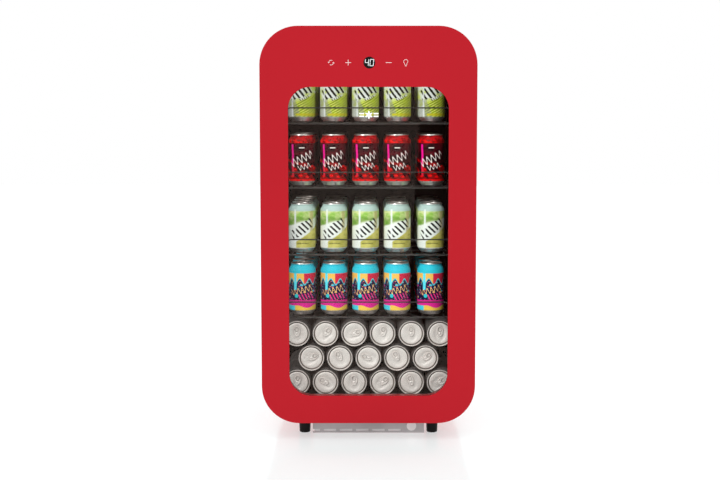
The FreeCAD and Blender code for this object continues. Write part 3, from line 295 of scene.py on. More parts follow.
# ---------------------------------------------------------------------------------------------------
# Printed cans: abstract patterns in millimetres, across the front of the can and up from its base
# ---------------------------------------------------------------------------------------------------
class Label(Paint):
    """The print on a can: x runs across the front from its middle, and y up from the base."""

    def __init__(self, name, colour, radius, tall):
        super().__init__(name, colour, 0.38, Specular_IOR_Level=0.1)
        u, v, _ = self.split(self.place("UV"))
        self.x = (u - 0.5) * (2 * math.pi * radius / MM)
        self.y = v * (tall / MM)
        self.uv = self.place("UV")
        self.grain = self.noise(9.0, 5.0, place=self.uv)
        self.bump(self.noise(160.0, place=self.uv), 0.01 * MM)

    def wobble(self, size, scale=6.0):
        """A field from about -size to size that bends a straight edge."""
        return (self.noise(scale, 3.0, place=self.uv) - 0.5) * (2.4 * size)

    def box(self, x, y, middle, half, soft=0.4):
        wide = self.under(abs(x - middle[0]), half[0], soft)
        tall = self.under(abs(y - middle[1]), half[1], soft)
        return wide * tall

    def turned(self, middle, degrees):
        """The two directions of a frame turned about a point of the label."""
        c, s = math.cos(math.radians(degrees)), math.sin(math.radians(degrees))
        dx, dy = self.x - middle[0], self.y - middle[1]
        return dx * c + dy * s, dy * c - dx * s

    def dot(self, middle, radius, soft=0.4):
        dx, dy = self.x - middle[0], self.y - middle[1]
        return self.under(self.math("SQRT", dx * dx + dy * dy), radius, soft)

    def band(self, low, high, soft=0.4):
        return self.over(self.y, low, soft) * self.under(self.y, high, soft)

    def strokes(self, middle, degrees, pitch, width, half, soft=0.5):
        """A slanting row of upright brush strokes of uneven length."""
        along, across = self.turned(middle, degrees)
        lean = along + across * 0.25
        repeated = self.math("PINGPONG", lean + self.wobble(0.9, 30.0), pitch / 2)
        stroke = self.under(repeated, width / 2, soft)
        uneven = abs(across + self.wobble(half[1] * 0.5, 14.0))
        return stroke * self.under(uneven, half[1], soft) * self.under(abs(along), half[0], soft)

    def scribble(self, middle, degrees, wave, swing, half, thick, soft=0.4):
        """A wavy ribbon along a slanting line."""
        along, across = self.turned(middle, degrees)
        line = across - self.math("SINE", along * (2 * math.pi / wave)) * swing
        return self.under(abs(line), thick / 2, soft) * self.under(abs(along), half, soft)

    def painted_reflection_streak(self, middle, half):
        """A painted reflection: an upright pale streak in the print, where a window's reflection in the
        varnish would fall.
        """
        self.coat(self.box(self.x, self.y, (middle, 55), (half, 44), 1.6) * 0.85, (0.9, 0.92, 0.9, 1.0))


def citrus_label(name, radius, tall):
    """White and lime, with dark brush strokes over veined leaves."""
    art = Label(name, display(244, 246, 240), radius, tall)
    lime, leaf, dark = display(200, 216, 40), display(112, 136, 22), display(30, 30, 14)
    along, across = art.turned((4, 36), 22)
    field = art.under(across + art.wobble(3), 12, 0.8) * art.over(art.x + art.wobble(3), -17, 1.0)
    art.coat(field, art.mix(art.over(art.grain, 0.5, 0.1), lime, display(222, 226, 84)))
    art.coat(art.over(art.x - art.y * 0.55 + art.wobble(3), -28, 2) * art.over(art.y, 84, 5) * 0.6,
             display(190, 186, 170))
    waves = art.math("PINGPONG", across - along * 0.12 + art.wobble(1.6, 12.0), 2.6)
    art.coat(field * art.over(waves, 1.6, 0.3) * art.over(art.grain, 0.36, 0.1), leaf)
    art.coat(field * art.under(waves, 0.5, 0.3) * 0.7, display(238, 240, 150))
    blots = art.over(art.noise(5.0, 4.0, place=art.uv), 0.5, 0.06) * art.over(across, 10, 2)
    art.coat(blots * art.under(across, 46, 6) * 0.85, display(212, 224, 74))
    art.coat(art.under(along + art.wobble(3), -12, 2) * art.under(art.y, 50, 4) * 0.55,
             display(150, 150, 140))
    art.coat(art.strokes((-1, 68), 24, 10.5, 4.8, (29, 13)), dark)
    art.coat(art.strokes((9, 52), 24, 5.0, 1.8, (14, 3)), dark)
    art.coat(art.band(13, 18) * art.over(art.x, -12, 1), display(206, 196, 40))
    # Painted reflection: a pale upright streak on the left of the print.
    art.painted_reflection_streak(-21, 1.8)
    return finished(art, display(214, 226, 160))


def berry_label(name, radius, tall):
    """Maroon under a red band, with pale scribbled ribbons and red shards."""
    art = Label(name, display(36, 2, 10), radius, tall)
    red, pale = display(240, 6, 10), display(250, 236, 232)
    art.coat(art.over(art.grain, 0.5, 0.12), display(84, 4, 20))
    shards = art.cells(9.0, art.uv, "Color")
    picked = art.over(art.split(shards)[0], 0.4, 0.02) * art.under(art.y + art.x * 0.2, 52, 2)
    art.coat(picked, red)
    art.coat(art.over(art.cells(16.0, art.uv), 0.42, 0.04) * art.band(14, 70) * 0.7, display(20, 2, 8))
    shoulder = art.over(art.y + art.wobble(1.5), 97, 0.8)
    art.coat(shoulder, red)
    art.coat(art.box(art.x + art.wobble(2), art.y, (-23, 66), (2.8, 28), 1.2), display(255, 20, 150))
    art.coat(art.box(art.x, art.y, (-22, 34), (3.2, 12), 1.0), display(226, 34, 60))
    art.coat(art.box(art.x, art.y, (0, 86), (6.2, 1.1), 0.5), pale)
    art.coat(art.scribble((0, 61), 24, 11.0, 7.0, 28, 5.0), pale)
    art.coat(art.scribble((6, 43), 17, 8.5, 4.6, 15, 3.4), pale)
    finished(art, display(196, 16, 22))
    art.coat(shoulder * art.over(art.noise(11.0, 3.0, place=art.uv), 0.54, 0.06) * 0.75, display(60, 4, 10))
    return art.material


def lime_label(name, radius, tall):
    """White under a mint shoulder, with green foliage, black strokes and a yellow-green corner."""
    art = Label(name, display(238, 240, 234), radius, tall)
    mint, green, olive = display(186, 208, 202), display(150, 196, 84), display(84, 132, 36)
    leafy = art.over(art.y + art.wobble(5, 5.0) - art.x * 0.25, 70, 3)
    art.coat(leafy, art.mix(art.over(art.grain, 0.5, 0.14), green, display(220, 226, 160)))
    art.coat(leafy * art.under(art.y + art.wobble(6, 9.0), 80, 4) * 0.6, olive)
    art.coat(art.box(art.x, art.y, (26, 66), (5, 34), 2.0) * 0.7, display(190, 176, 110))
    _, across = art.turned((6, 37), 33)
    corner = art.under(across + art.wobble(1.0, 20.0), 0, 0.8) * art.over(art.x, -16, 3)
    corner = corner * art.over(art.y, 11, 0.5)
    art.coat(corner, art.mix(art.over(art.grain, 0.5, 0.12), display(214, 204, 112), display(186, 178, 80)))
    dark = display(16, 14, 12)
    art.coat(art.strokes((1, 54), 33, 10.0, 4.4, (30, 11), 0.4), dark)
    dashes = art.over(art.math("PINGPONG", art.x + art.wobble(1.5, 40.0), 1.7), 0.55, 0.2)
    art.coat(dashes * art.box(art.x, art.y, (4, 21), (13, 0.9), 0.4), display(70, 72, 50))
    art.coat(art.over(art.y, 95, 0.6), mint)
    # Painted reflection: a pale upright streak on the left of the print.
    art.painted_reflection_streak(-15, 2.2)
    return finished(art, mint)


def fiesta_label(name, radius, tall):
    """Cyan shoulder, warm drips, a navy field of bright dabs and a magenta foot."""
    art = Label(name, display(26, 22, 62), radius, tall)
    cyan, amber, pink = display(46, 196, 218), display(246, 190, 92), display(232, 40, 150)
    for scale, size in ((17.0, 0.32), (39.0, 0.26)):
        pick = art.split(art.cells(scale, art.uv, "Color"))[1]
        near = art.under(art.cells(scale, art.uv), size, 0.05)
        art.coat(near * art.over(pick, 0.3, 0.02), pink)
        art.coat(near * art.over(pick, 0.55, 0.02), amber)
        art.coat(near * art.over(pick, 0.7, 0.02), cyan)
    art.coat(art.scribble((-2, 57), 14, 9.5, 5.5, 26, 3.6), display(252, 196, 130))
    art.coat(art.strokes((9, 43), 14, 7.0, 2.6, (17, 7)), display(240, 50, 140))
    wave = art.math("SINE", art.x * 0.28) * 7.0 + art.wobble(3)
    art.coat(art.over(art.y + wave, 75, 0.8), cyan)
    art.coat(art.over(art.y + wave, 78.5, 0.8), amber)
    art.coat(art.over(art.y + wave, 78.5, 0.8) * art.over(art.x, 4, 1.0), display(214, 38, 72))
    art.coat(art.box(art.x, art.y, (-17, 78), (3.4, 20), 1.2), display(90, 224, 244))
    art.coat(art.under(art.y + art.wobble(1.5), 34, 0.8), pink)
    art.coat(art.under(art.y + art.math("SINE", art.x * 0.13) * 3.0, 19, 0.8), display(246, 200, 84))
    art.coat(art.under(art.y, 21, 0.8) * art.under(art.x, -18, 2.0), display(70, 214, 236))
    art.coat(art.dot((-14, 44), 4.6), display(44, 196, 204))
    art.coat(art.over(art.y, 96, 0.5), cyan)
    return finished(art, cyan)


def finished(art, neck):
    """The neck of the can in its own colour, up to the rim."""
    art.coat(art.over(art.y, 104, 1.0), neck)
    return art.material


# ---------------------------------------------------------------------------------------------------
# Meshes
# ---------------------------------------------------------------------------------------------------
def add_mesh(name, points, faces, materials, indices=None, corners=None, angle=35):
    mesh = bpy.data.meshes.new(name)
    mesh.from_pydata([tuple(p) for p in points], [], faces)
    for material in materials:
        mesh.materials.append(material)
    if indices is not None:
        mesh.polygons.foreach_set("material_index", np.asarray(indices, np.int32))
    if corners is not None:
        layer = mesh.uv_layers.new(name="print")
        layer.data.foreach_set("uv", np.asarray(corners, np.float32).ravel())
    mesh.shade_smooth()
    mesh.set_sharp_from_angle(angle=math.radians(angle))
    made = bpy.data.objects.new(name, mesh)
    bpy.context.scene.collection.objects.link(made)
    return made


def outward(piece):
    """Turns every face of a closed mesh outwards."""
    shape = bmesh.new()
    shape.from_mesh(piece.data)
    bmesh.ops.recalc_face_normals(shape, faces=shape.faces)
    shape.to_mesh(piece.data)
    shape.free()
    return piece


def settle(piece, body, slot, *nodes):
    """The piece rides on a body and stands for these CAD nodes, which it hides; the slot is not used."""
    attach(piece, body)
    if nodes:
        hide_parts(*nodes)
    return piece


def loft(rings, ring_shaped=False):
    """Faces between rings of equally many points: a tube closed on itself, or a solid with two ends."""
    size, count = len(rings[0]), len(rings)
    faces = []
    for k in range(count if ring_shaped else count - 1):
        low, high = k * size, (k + 1) % count * size
        faces += [(low + i, low + (i + 1) % size, high + (i + 1) % size, high + i) for i in range(size)]
    if not ring_shaped:
        faces += [tuple(range(size)), tuple(range((count - 1) * size, count * size))]
    return [p for ring in rings for p in ring], faces


def outline(half, low, high, corner, y, inset=0.0, steps=14):
    """An upright rounded rectangle at one depth."""
    half, low, high, corner = half - inset, low + inset, high - inset, corner - inset
    points = []
    for quarter, (x, z) in enumerate(((half - corner, high - corner), (corner - half, high - corner),
                                      (corner - half, low + corner), (half - corner, low + corner))):
        for i in range(steps + 1):
            turn = math.pi / 2 * (quarter + i / steps)
            points.append((x + corner * math.cos(turn), y, z + corner * math.sin(turn)))
    return points


def door_outline(y, inset=0.0):
    return outline(DOOR_HIGH.x, DOOR_LOW.z, DOOR_HIGH.z, DOOR_CORNER, y, inset)


def window_outline(y, inset=0.0):
    return outline(WINDOW_HALF, WINDOW_LOW, WINDOW_HIGH, WINDOW_CORNER, y, inset)


def circle(middle, radius, y, steps=40):
    return [(middle[0] + radius * math.cos(2 * math.pi * i / steps), y,
             middle[1] + radius * math.sin(2 * math.pi * i / steps)) for i in range(steps)]


def revolve(profile, segments):
    """Rings of a profile of (radius, height) about Z. Returns points, faces and the corners' u and v."""
    points, faces, corners, starts = [], [], [], []
    top = max(z for r, z in profile)
    for r, z in profile:
        starts.append(len(points))
        for i in range(segments if r > 0 else 1):
            turn = 2 * math.pi * i / segments - math.pi
            points.append((r * math.sin(turn), -r * math.cos(turn), z))
    for k in range(len(profile) - 1):
        (r0, z0), (r1, z1) = profile[k], profile[k + 1]
        for i in range(segments):
            j = (i + 1) % segments
            u0, u1, v0, v1 = i / segments, (i + 1) / segments, z0 / top, z1 / top
            a, b = starts[k] + (i if r0 else 0), starts[k] + (j if r0 else 0)
            c, d = starts[k + 1] + (j if r1 else 0), starts[k + 1] + (i if r1 else 0)
            if r0 == 0:
                faces.append((a, c, d))
                corners += [(u0, v0), (u1, v1), (u0, v1)]
            elif r1 == 0:
                faces.append((a, b, c))
                corners += [(u0, v0), (u1, v0), (u0, v1)]
            else:
                faces.append((a, b, c, d))
                corners += [(u0, v0), (u1, v0), (u1, v1), (u0, v1)]
    return points, faces, corners


# ---------------------------------------------------------------------------------------------------
# Cans
# ---------------------------------------------------------------------------------------------------
CAN_RADIUS, LYING_RADIUS, CAN_PITCH = 31 * MM, 33 * MM, 73.3 * MM
MASTER_RADIUS, MASTER_TALL = 33, 122
CAN_WALL = ((0, 10.5), (8, 10), (15, 8.2), (20, 5), (22.3, 2), (23, 0.6), (23.8, 0), (24.6, 0.5), (25.6, 2),
            (28.5, 5), (31, 8), (32.4, 10.5), (33, 13.5), (33, 58), (33, 104), (32.6, 107), (31, 110.5),
            (29, 113.5), (27.6, 115.6), (27, 117), (26.9, 118), (27.6, 118.3), (28, 119), (28, 120.2),
            (28, 121.2), (27.5, 122), (26.6, 122), (26.1, 121.2), (25.6, 117.5), (25.0, 115.6), (24.2, 115.2),
            (23.4, 116.2), (23.1, 118.0))
PRINT_LOW, PRINT_HIGH = 9.5, 120.3
LID_FROM, LYING_SPREAD, LYING_BODY_HIGH = 112, 1.055, 118.5
PANEL = 118.4


def smooth(value, start, end):
    share = min(1.0, max(0.0, (value - start) / (end - start)))
    return share * share * (3 - 2 * share)


def lid_height(x, y):
    """The lid panel: sunk round the tab and the mouth, with the score line of the mouth."""
    sunk = 1 - smooth((x / 13) ** 2 + (y / 19) ** 2, 0.8, 1.15)
    mouth = (x / 9) ** 2 + ((y + 9.5) / 8) ** 2
    return PANEL - 1.0 * sunk - 0.6 * math.exp(-((mouth - 1) / 0.16) ** 2)


def tab_shape(steps=28):
    """The pull tab over the rivet, with its finger hole and curled edge, both of them in painted shade: they
    take the darker metal.
    """
    def egg(middle, half_wide, half_long, height):
        ring = []
        for i in range(steps):
            turn = 2 * math.pi * i / steps
            wide = half_wide * (1 + 0.12 * math.sin(turn))
            ring.append((wide * math.cos(turn), middle + half_long * math.sin(turn), PANEL + height))
        return ring
    rings = [egg(5.5, 7.4, 12.0, -0.3), egg(5.5, 7.9, 12.4, 1.0), egg(5.5, 7.4, 12.0, 2.0),
             egg(5.5, 6.3, 10.9, 2.1), egg(5.6, 5.6, 10.1, 1.3), egg(9.6, 4.9, 5.8, 1.3),
             egg(9.6, 4.4, 5.3, 2.0), egg(9.6, 3.9, 4.8, 1.0), egg(9.6, 4.2, 5.1, -0.3)]
    points, faces = loft(rings, ring_shaped=True)
    # Painted shade: the rings of the curled edge and the finger hole take the darker metal (kind 2).
    return points, faces, [2 if k // steps in (0, 6, 7, 8) else 1 for k in range(len(faces))]


def rivet_shape():
    profile = ((3.0, PANEL - 1.0), (3.0, PANEL + 1.2), (2.4, PANEL + 1.7), (0, PANEL + 1.8))
    points, faces, _ = revolve(profile, 14)
    return points, faces, [1] * len(faces)


def one_can(segments, panel_rings, spread=1.0, print_high=PRINT_HIGH, shade_painted_on_panel=True):
    """A can at the master size, its lid widened by spread. Returns points, faces, corner uvs and each face's
    kind: 0 for print, 1 for bare metal, 2 for darker metal that paints shade, in the groove and, with
    shade_painted_on_panel, over the lid panel."""
    profile = [(radius * (spread if z > LID_FROM else 1), z) for radius, z in CAN_WALL]
    for k in range(panel_rings):
        profile.append((22.4 * spread * (1 - k / panel_rings), PANEL))
    profile.append((0, PANEL))
    points, faces, corners = revolve(profile, segments)
    points = [(x, y, lid_height(x, y) if z == PANEL else z) for x, y, z in points]
    kinds = []
    for face in faces:
        heights = [points[i][2] for i in face]
        across = max(math.hypot(points[i][0], points[i][1]) for i in face) / spread
        if min(heights) > PRINT_LOW and max(heights) < print_high and across > 26.8:
            kinds.append(0)
        # Painted shade: the groove, and with shade_painted_on_panel the whole lid panel, take the darker
        # metal.
        elif max(heights) > 110 and across < 26.3 and (shade_painted_on_panel or min(heights) < 117 and across > 23.2):
            kinds.append(2)
        else:
            kinds.append(1)
    for extra_points, extra_faces, extra_kinds in (tab_shape(), rivet_shape()):
        start = len(points)
        points += extra_points
        faces += [tuple(start + i for i in face) for face in extra_faces]
        kinds += extra_kinds
        corners += [(0.0, 0.0)] * sum(len(face) for face in extra_faces)
    return np.array(points), faces, np.array(corners), kinds


def can_stack(name, can, places, materials, in_front=None):
    """Many cans in one mesh, each at a 4 by 4 place. The bare metal of those after the first in_front takes
    the darker metal: painted shade for the rows deeper in the shelf.
    """
    points, faces, corners, kinds = can
    homogeneous = np.c_[points, np.ones(len(points))]
    all_points = np.concatenate([(homogeneous @ np.array(place).T)[:, :3] for place in places])
    all_faces = [tuple(i + k * len(points) for i in face) for k in range(len(places)) for face in faces]
    in_front = len(places) if in_front is None else in_front
    # Painted shade: every bare metal face of a can behind the front row takes the darker metal.
    painted_shade_kinds = [2 if kind else 0 for kind in kinds]
    indices = kinds * in_front + painted_shade_kinds * (len(places) - in_front)
    return add_mesh(name, all_points, all_faces, materials, indices, np.tile(corners, (len(places), 1)), 40)


def standing_cans(metal, metal_in_painted_shade):
    """Four rows of five on each shelf, the front row first."""
    draw = random.Random(7)
    stacks = []
    can = one_can(40, 4)
    labels = (citrus_label, berry_label, lime_label, fiesta_label)
    slots = ("can_yellow_green", "can_dark_red", "can_pale_green", "can_cyan")
    for number, (label, slot) in enumerate(zip(labels, slots), 1):
        node = "cans_%d" % number
        low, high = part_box(node)
        tall = high.z - low.z
        wide = CAN_RADIUS / MASTER_RADIUS
        size = Matrix.Diagonal((wide, wide, tall / MASTER_TALL, 1))
        first, last = low.x + CAN_RADIUS, high.x - CAN_RADIUS
        columns = [first + i * CAN_PITCH for i in range(4)] + [last]
        places = []
        for row in range(4):
            y = low.y + CAN_RADIUS + (high.y - low.y - 2 * CAN_RADIUS) * row / 3
            for x in columns:
                turn = math.radians(draw.uniform(-3, 3) if row == 0 else draw.uniform(-40, 40))
                places.append(Matrix.Translation((x, y, low.z)) @ Matrix.Rotation(turn, 4, "Z") @ size)
        art = label("print_" + slot, CAN_RADIUS, tall)
        # Rows behind the front row get painted shade on their bare metal.
        stack = can_stack("printed_" + node, can, places, [art, metal, metal_in_painted_shade], len(columns))
        stacks.append(settle(stack, "shelf_%d" % number, slot, node))
    return stacks


def lying_cans(metal, metal_in_painted_shade):
    """Three layers of cans with their lids to the front, each turned its own way."""
    draw = random.Random(11)
    low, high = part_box("lying_cans")
    pitch = (high.x - low.x - 2 * LYING_RADIUS) / 5
    tall = MASTER_TALL * MM
    wide = LYING_RADIUS / MASTER_RADIUS
    size = Matrix.Diagonal((wide, wide, MM, 1))
    forward = Matrix.Rotation(math.radians(90), 4, "X")
    places = []
    for layer, count in enumerate((6, 5, 6)):
        z = low.z + LYING_RADIUS + layer * pitch * math.sqrt(3) / 2
        for i in range(count):
            for y in (low.y + tall, high.y):
                turn = Matrix.Rotation(draw.uniform(-1.2, 1.2), 4, "Z")
                place = Matrix.Translation(((i - (count - 1) / 2) * pitch, y, z))
                places.append(place @ forward @ turn @ size)
    body = aluminium("can_body_metal", (0.16, 0.14, 0.135, 1.0), 0.5)
    can = one_can(44, 9, LYING_SPREAD, LYING_BODY_HIGH, False)
    stack = can_stack("silver_cans", can, places, [body, metal, metal_in_painted_shade])
    return settle(stack, "root", "can_silver", "lying_cans")


# ---------------------------------------------------------------------------------------------------
# Door
# ---------------------------------------------------------------------------------------------------
def door_bezel():
    """The enamelled glass round the window, with a polished edge."""
    front = DOOR_FRONT
    rings = [door_outline(front + back * MM, inset * MM) for inset, back in
             ((0, 4.3), (0, 1.3), (0.15, 0.7), (0.5, 0.25), (1.2, 0))]
    rings += [window_outline(front), window_outline(front + 0.8 * MM)]
    rings += [door_outline(front + 0.8 * MM, 3 * MM), door_outline(front + 4.3 * MM, 3 * MM)]
    red = enamel("red_glass", display(196, 27, 40), 0.34)
    piece = outward(add_mesh("door_bezel", *loft(rings, True), [red]))
    settle(piece, "door", "red_enamel", "door_border")


def door_window(edge):
    """The clear pane in the enamel, with a dark edge all round."""
    front, gap = DOOR_FRONT + 0.02 * MM, 0.05 * MM
    rings = [window_outline(front, gap), window_outline(front + 3.9 * MM, gap)]
    indices = [1] * len(rings[0]) + [0, 0]
    materials = [clear_pane("window_glass", 1.4), edge]
    piece = outward(add_mesh("door_pane", *loft(rings), materials, indices))
    settle(piece, "door", "clear_glass", "door_glass")


def ribbon(paths, width, y, thick=0.12 * MM):
    """Flat strokes of an even width along paths of (x, z) points in millimetres, each a closed mesh."""
    points, faces = [], []
    for path in paths:
        path = [Vector(p) * MM for p in path]
        rings = []
        for i, here in enumerate(path):
            before, after = path[max(i - 1, 0)], path[min(i + 1, len(path) - 1)]
            ahead = (after - before).normalized()
            side = Vector((-ahead.y, ahead.x)) * width * MM / 2
            left, right = here + side, here - side
            rings.append([(left.x, y, left.y), (right.x, y, right.y),
                          (right.x, y - thick, right.y), (left.x, y - thick, left.y)])
        more_points, more_faces = loft(rings)
        faces += [tuple(len(points) + i for i in face) for face in more_faces]
        points += more_points
    return points, faces


def arc(middle, radius, start, end, steps=14):
    turns = [math.radians(start + (end - start) * i / steps) for i in range(steps + 1)]
    return [(middle[0] + radius * math.cos(t), middle[1] + radius * math.sin(t)) for t in turns]


def control(name, side, paths, width, material, y=None, height=None):
    """One printed symbol of the touch controls, or the emblem on the glass."""
    high = CONTROL_HEIGHT if height is None else height
    moved = [[(side / MM + x, high / MM + z) for x, z in path] for path in paths]
    piece = outward(add_mesh(name, *ribbon(moved, width, DOOR_FRONT if y is None else y), [material]))
    return settle(piece, "door", "lens")


def touch_controls():
    """The four printed symbols beside the display: cycle, plus, minus and lamp."""
    ink = Paint("symbol_ink_painted_glow", display(240, 214, 212), 0.5, Emission_Color=(1.0, 0.86, 0.85, 1.0))
    # Painted glow: the printed symbols give off a little light, though they are no lamp.
    ink.set("Emission Strength", ink.spread(ink.noise(500.0), 0.05, 0.2))
    ink.bump(ink.noise(2500.0), 0.02 * MM)
    near, far = 44.5 * MM, 82 * MM
    cycle = [arc((0, 0), 5.2, 60, 190), arc((0, 0), 5.2, 240, 370),
             [(-7.2, 1.4), (-5.2, -1.0), (-2.9, 1.0)], [(7.2, -1.4), (5.2, 1.0), (2.9, -1.0)]]
    control("symbol_cycle", -far, cycle, 1.0, ink.material)
    plus = [[(-6.2, 0), (6.2, 0)], [(0, 0.7), (0, 6.2)], [(0, -0.7), (0, -6.2)]]
    control("symbol_plus", -near, plus, 1.2, ink.material)
    control("symbol_minus", near, [[(-6.4, 0), (6.4, 0)]], 1.25, ink.material)
    bulb = [arc((0, 2.2), 4.6, -52, 232), [(-2.8, -1.7), (-1.8, -5.6)], [(2.8, -1.7), (1.8, -5.6)],
            [(-2.3, -5.6), (2.3, -5.6)], [(-1.7, -7.3), (1.7, -7.3)]]
    control("symbol_lamp", far, bulb, 1.0, ink.material)


def display_face():
    """The round black display and its two glowing seven-segment digits."""
    glass = Paint("display_glass", display(14, 11, 11), Specular_IOR_Level=0.12)
    glass.coat(glass.over(glass.cells(700.0), 0.5, 0.1) * 0.3, display(22, 18, 18))
    glass.set("Roughness", glass.spread(glass.noise(80.0), 0.1, 0.22))
    middle, radius = (CONTROL_MIDDLE, CONTROL_HEIGHT), 13 * MM
    rings = [circle(middle, radius * share, DOOR_FRONT + depth * MM) for share, depth in
             ((1.0, 0.3), (1.0, -0.08), (0.985, -0.16), (0.9, -0.2))]
    settle(outward(add_mesh("display_disc", *loft(rings), [glass.material])), "door", "display_black",
           "display_window")
    glow = Paint("digit_glow", display(245, 245, 245), 0.5, Emission_Color=(0.95, 0.97, 1.0, 1.0))
    glow.set("Emission Strength", glow.spread(glow.noise(900.0), 0.12, 0.25))
    half, tall, lean = 3.7, 7.0, 0.1
    bars = {"top": ((-half, tall), (half, tall)), "middle": ((-half, 0), (half, 0)),
            "bottom": ((-half, -tall), (half, -tall)), "upper_left": ((-half, 0.4), (-half, tall)),
            "upper_right": ((half, 0.4), (half, tall)), "lower_left": ((-half, -tall), (-half, -0.4)),
            "lower_right": ((half, -tall), (half, -0.4))}
    four = ("upper_left", "upper_right", "middle", "lower_right")
    nought = ("top", "bottom", "upper_left", "upper_right", "lower_left", "lower_right")
    for name, shift, lit in (("digit_four", -5.5, four), ("digit_nought", 5.5, nought)):
        paths = [[(x + shift + z * lean, z) for x, z in bars[bar]] for bar in lit]
        control(name, CONTROL_MIDDLE, paths, 1.3, glow.material, DOOR_FRONT - 0.2 * MM)


def emblem():
    """A plain asterisk between short rules, printed on the glass in front of the top shelf."""
    ink = Paint("emblem_ink_painted_glow", display(250, 250, 250), 0.45, Emission_Color=(1.0, 1.0, 1.0, 1.0))
    # Painted glow: the white print gives off a little light of its own, though it is no lamp.
    ink.set("Emission Strength", ink.spread(ink.noise(500.0), 0.3, 0.5))
    ink.set("Roughness", ink.spread(ink.noise(800.0), 0.4, 0.55))
    paths = []
    for k in range(6):
        turn = Matrix.Rotation(math.radians(60 * k + 30), 2)
        arm = [(0.6, 0), (8.2, 0)]
        paths.append([tuple(turn @ Vector(p)) for p in arm])
    paths += [[(side * 10.5, lift), (side * 21, lift)] for side in (-1, 1) for lift in (-3, 3)]
    below_top = 195 * MM
    control("emblem_flake", 1.0 * MM, paths, 2.9, ink.material, height=DOOR_HIGH.z - below_top)


# ---------------------------------------------------------------------------------------------------
# CAD nodes that keep their shape
# ---------------------------------------------------------------------------------------------------
def dress(material, *names):
    """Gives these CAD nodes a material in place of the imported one."""
    for name in names:
        mesh = NODES[name].data
        mesh.materials.clear()
        mesh.materials.append(material)


def dress_nodes(red, black, liner):
    """Every CAD node that shows in its own shape gets its material."""
    dress(red, "cabinet_shell")
    dress(moulded("red_frame", display(190, 23, 36), 0.4, 0.04, 0.15), "door_frame")
    dress(liner, "inner_liner", "duct_cover", "fan_grille", "glazing_spacer")
    dress(moulded("door_back_black", black, 0.42, 0.08), "door_back_panel", "led_housing")
    dress(moulded("bay_black", display(34, 34, 36), 0.5, 0.12), "fan_motor", "fan_impeller", "relay_cover",
          "power_board_box", "cable_gland")
    dress(foamed("foam_skin"), "insulation_foam")
    dress(painted_steel("rear_grey", display(120, 120, 122)), "rear_panel", "base_plate",
          "compressor_cover")
    dress(moulded("kick_grey", display(192, 192, 193), 0.5, 0.05), "kick_plate")
    # Painted light: the filter and cap behind the kick plate's slots and round hole are near white, so the
    # openings read bright, as if lit through.
    dress(moulded("kick_pale_painted_light", display(248, 248, 248), 0.5, 0.05), "kick_cap", "kick_filter")
    dress(painted_steel("condenser_black", display(24, 24, 25), 0.45, 0.25), "condenser_tube",
          "condenser_wires", "condenser_brackets", "compressor")
    shelf_nodes = ["%s_%d" % (word, n) for n in range(1, 5) for word in ("shelf", "guard")]
    dress(painted_steel("shelf_wire", display(62, 58, 57), 0.38, 0.05), *shelf_nodes)
    dress(rubber("black_rubber"), "compressor_mounts", "rear_feet", "door_gasket")
    dress(moulded("foot_black", (0.004, 0.003, 0.003, 1.0), 0.35, 0.04, 0.15), "front_foot_left",
          "front_foot_right")
    dress(bare_metal("copper_tube", (0.72, 0.36, 0.22, 1.0), 0.3, (1, 1, 20), 0.7), "discharge_pipe",
          "filter_drier")
    dress(bare_metal("plate_aluminium", (0.75, 0.75, 0.76, 1.0)), "evaporator_plate")
    dress(bare_metal("zinc_plate", (0.62, 0.62, 0.6, 1.0), 0.32, (1, 1, 12)), "hinge_bracket_top",
          "hinge_bracket_bottom", "hinge_pins", "hinge_screws", "foot_nuts", "panel_screws", "door_screws",
          "touch_springs")
    dress(moulded("bush_white", display(228, 226, 218), 0.4, 0.03), "hinge_bushes")
    dress(lit_lens("lamp_lens"), "led_lens")
    dress(circuit("board_green"), "display_module")
    dress(clear_pane("inner_glazing", 1.12), "inner_glass")


# ---------------------------------------------------------------------------------------------------
# Floor, light and camera
# ---------------------------------------------------------------------------------------------------
FLOOR_HALF, POLISHED_OUT_TO = 9.0, 0.95
CAMERA_AWAY, CAMERA_HIGH, CAMERA_DOWN = 2.70, 0.742, 5.08
CARD_AWAY, EDGE_LOW, EDGE_HIGH = 1.5, 0.075, 0.118
FILL_RADIANCE = 0.15


def make_floor():
    """A pale floor, polished round the object and matt further out."""
    half = FLOOR_HALF
    points = [(-half, -half, 0), (half, -half, 0), (half, half, 0), (-half, half, 0)]
    paint = Paint("studio_floor", (0.56, 0.64, 0.64, 1.0), 0.12, Specular_IOR_Level=0.2,
                  Emission_Color=(0.95, 1, 1, 1), Emission_Strength=0.49)
    x, y, _ = paint.split(paint.place())
    away = paint.math("POWER", x * x + y * y, 0.5)
    polish = paint.spread(paint.noise(4.0), 0.1, 0.14)
    paint.set("Roughness", polish + paint.over(away, POLISHED_OUT_TO, 0.2) * 0.5)
    floor = add_mesh("studio_floor", points, [(0, 1, 2, 3)], [paint.material])


def make_flag():
    """A dark card that only mirrors see. Its reflection darkens the window to the right of a slanted edge,
    which crosses the window's bottom at EDGE_LOW and its top at EDGE_HIGH."""
    spread_out = 1 + CARD_AWAY / CAMERA_AWAY
    y = DOOR_FRONT - CARD_AWAY
    left_low, left_high, right = EDGE_LOW * spread_out, EDGE_HIGH * spread_out, WINDOW_HALF * spread_out
    low = CAMERA_HIGH - (CAMERA_HIGH - WINDOW_LOW) * spread_out
    high = CAMERA_HIGH + (WINDOW_HIGH - CAMERA_HIGH) * spread_out
    points = [(left_low, y, low), (right, y, low), (right, y, high), (left_high, y, high)]
    paint = Paint("flag_black", (0.2, 0.12, 0.1, 1.0), 0.9, Specular_IOR_Level=0.0)
    flag = add_mesh("studio_flag", points, [(0, 1, 2, 3)], [paint.material])
    flag.visible_camera = False
    flag.visible_diffuse = False
    flag.visible_shadow = False
    flag.visible_transmission = False


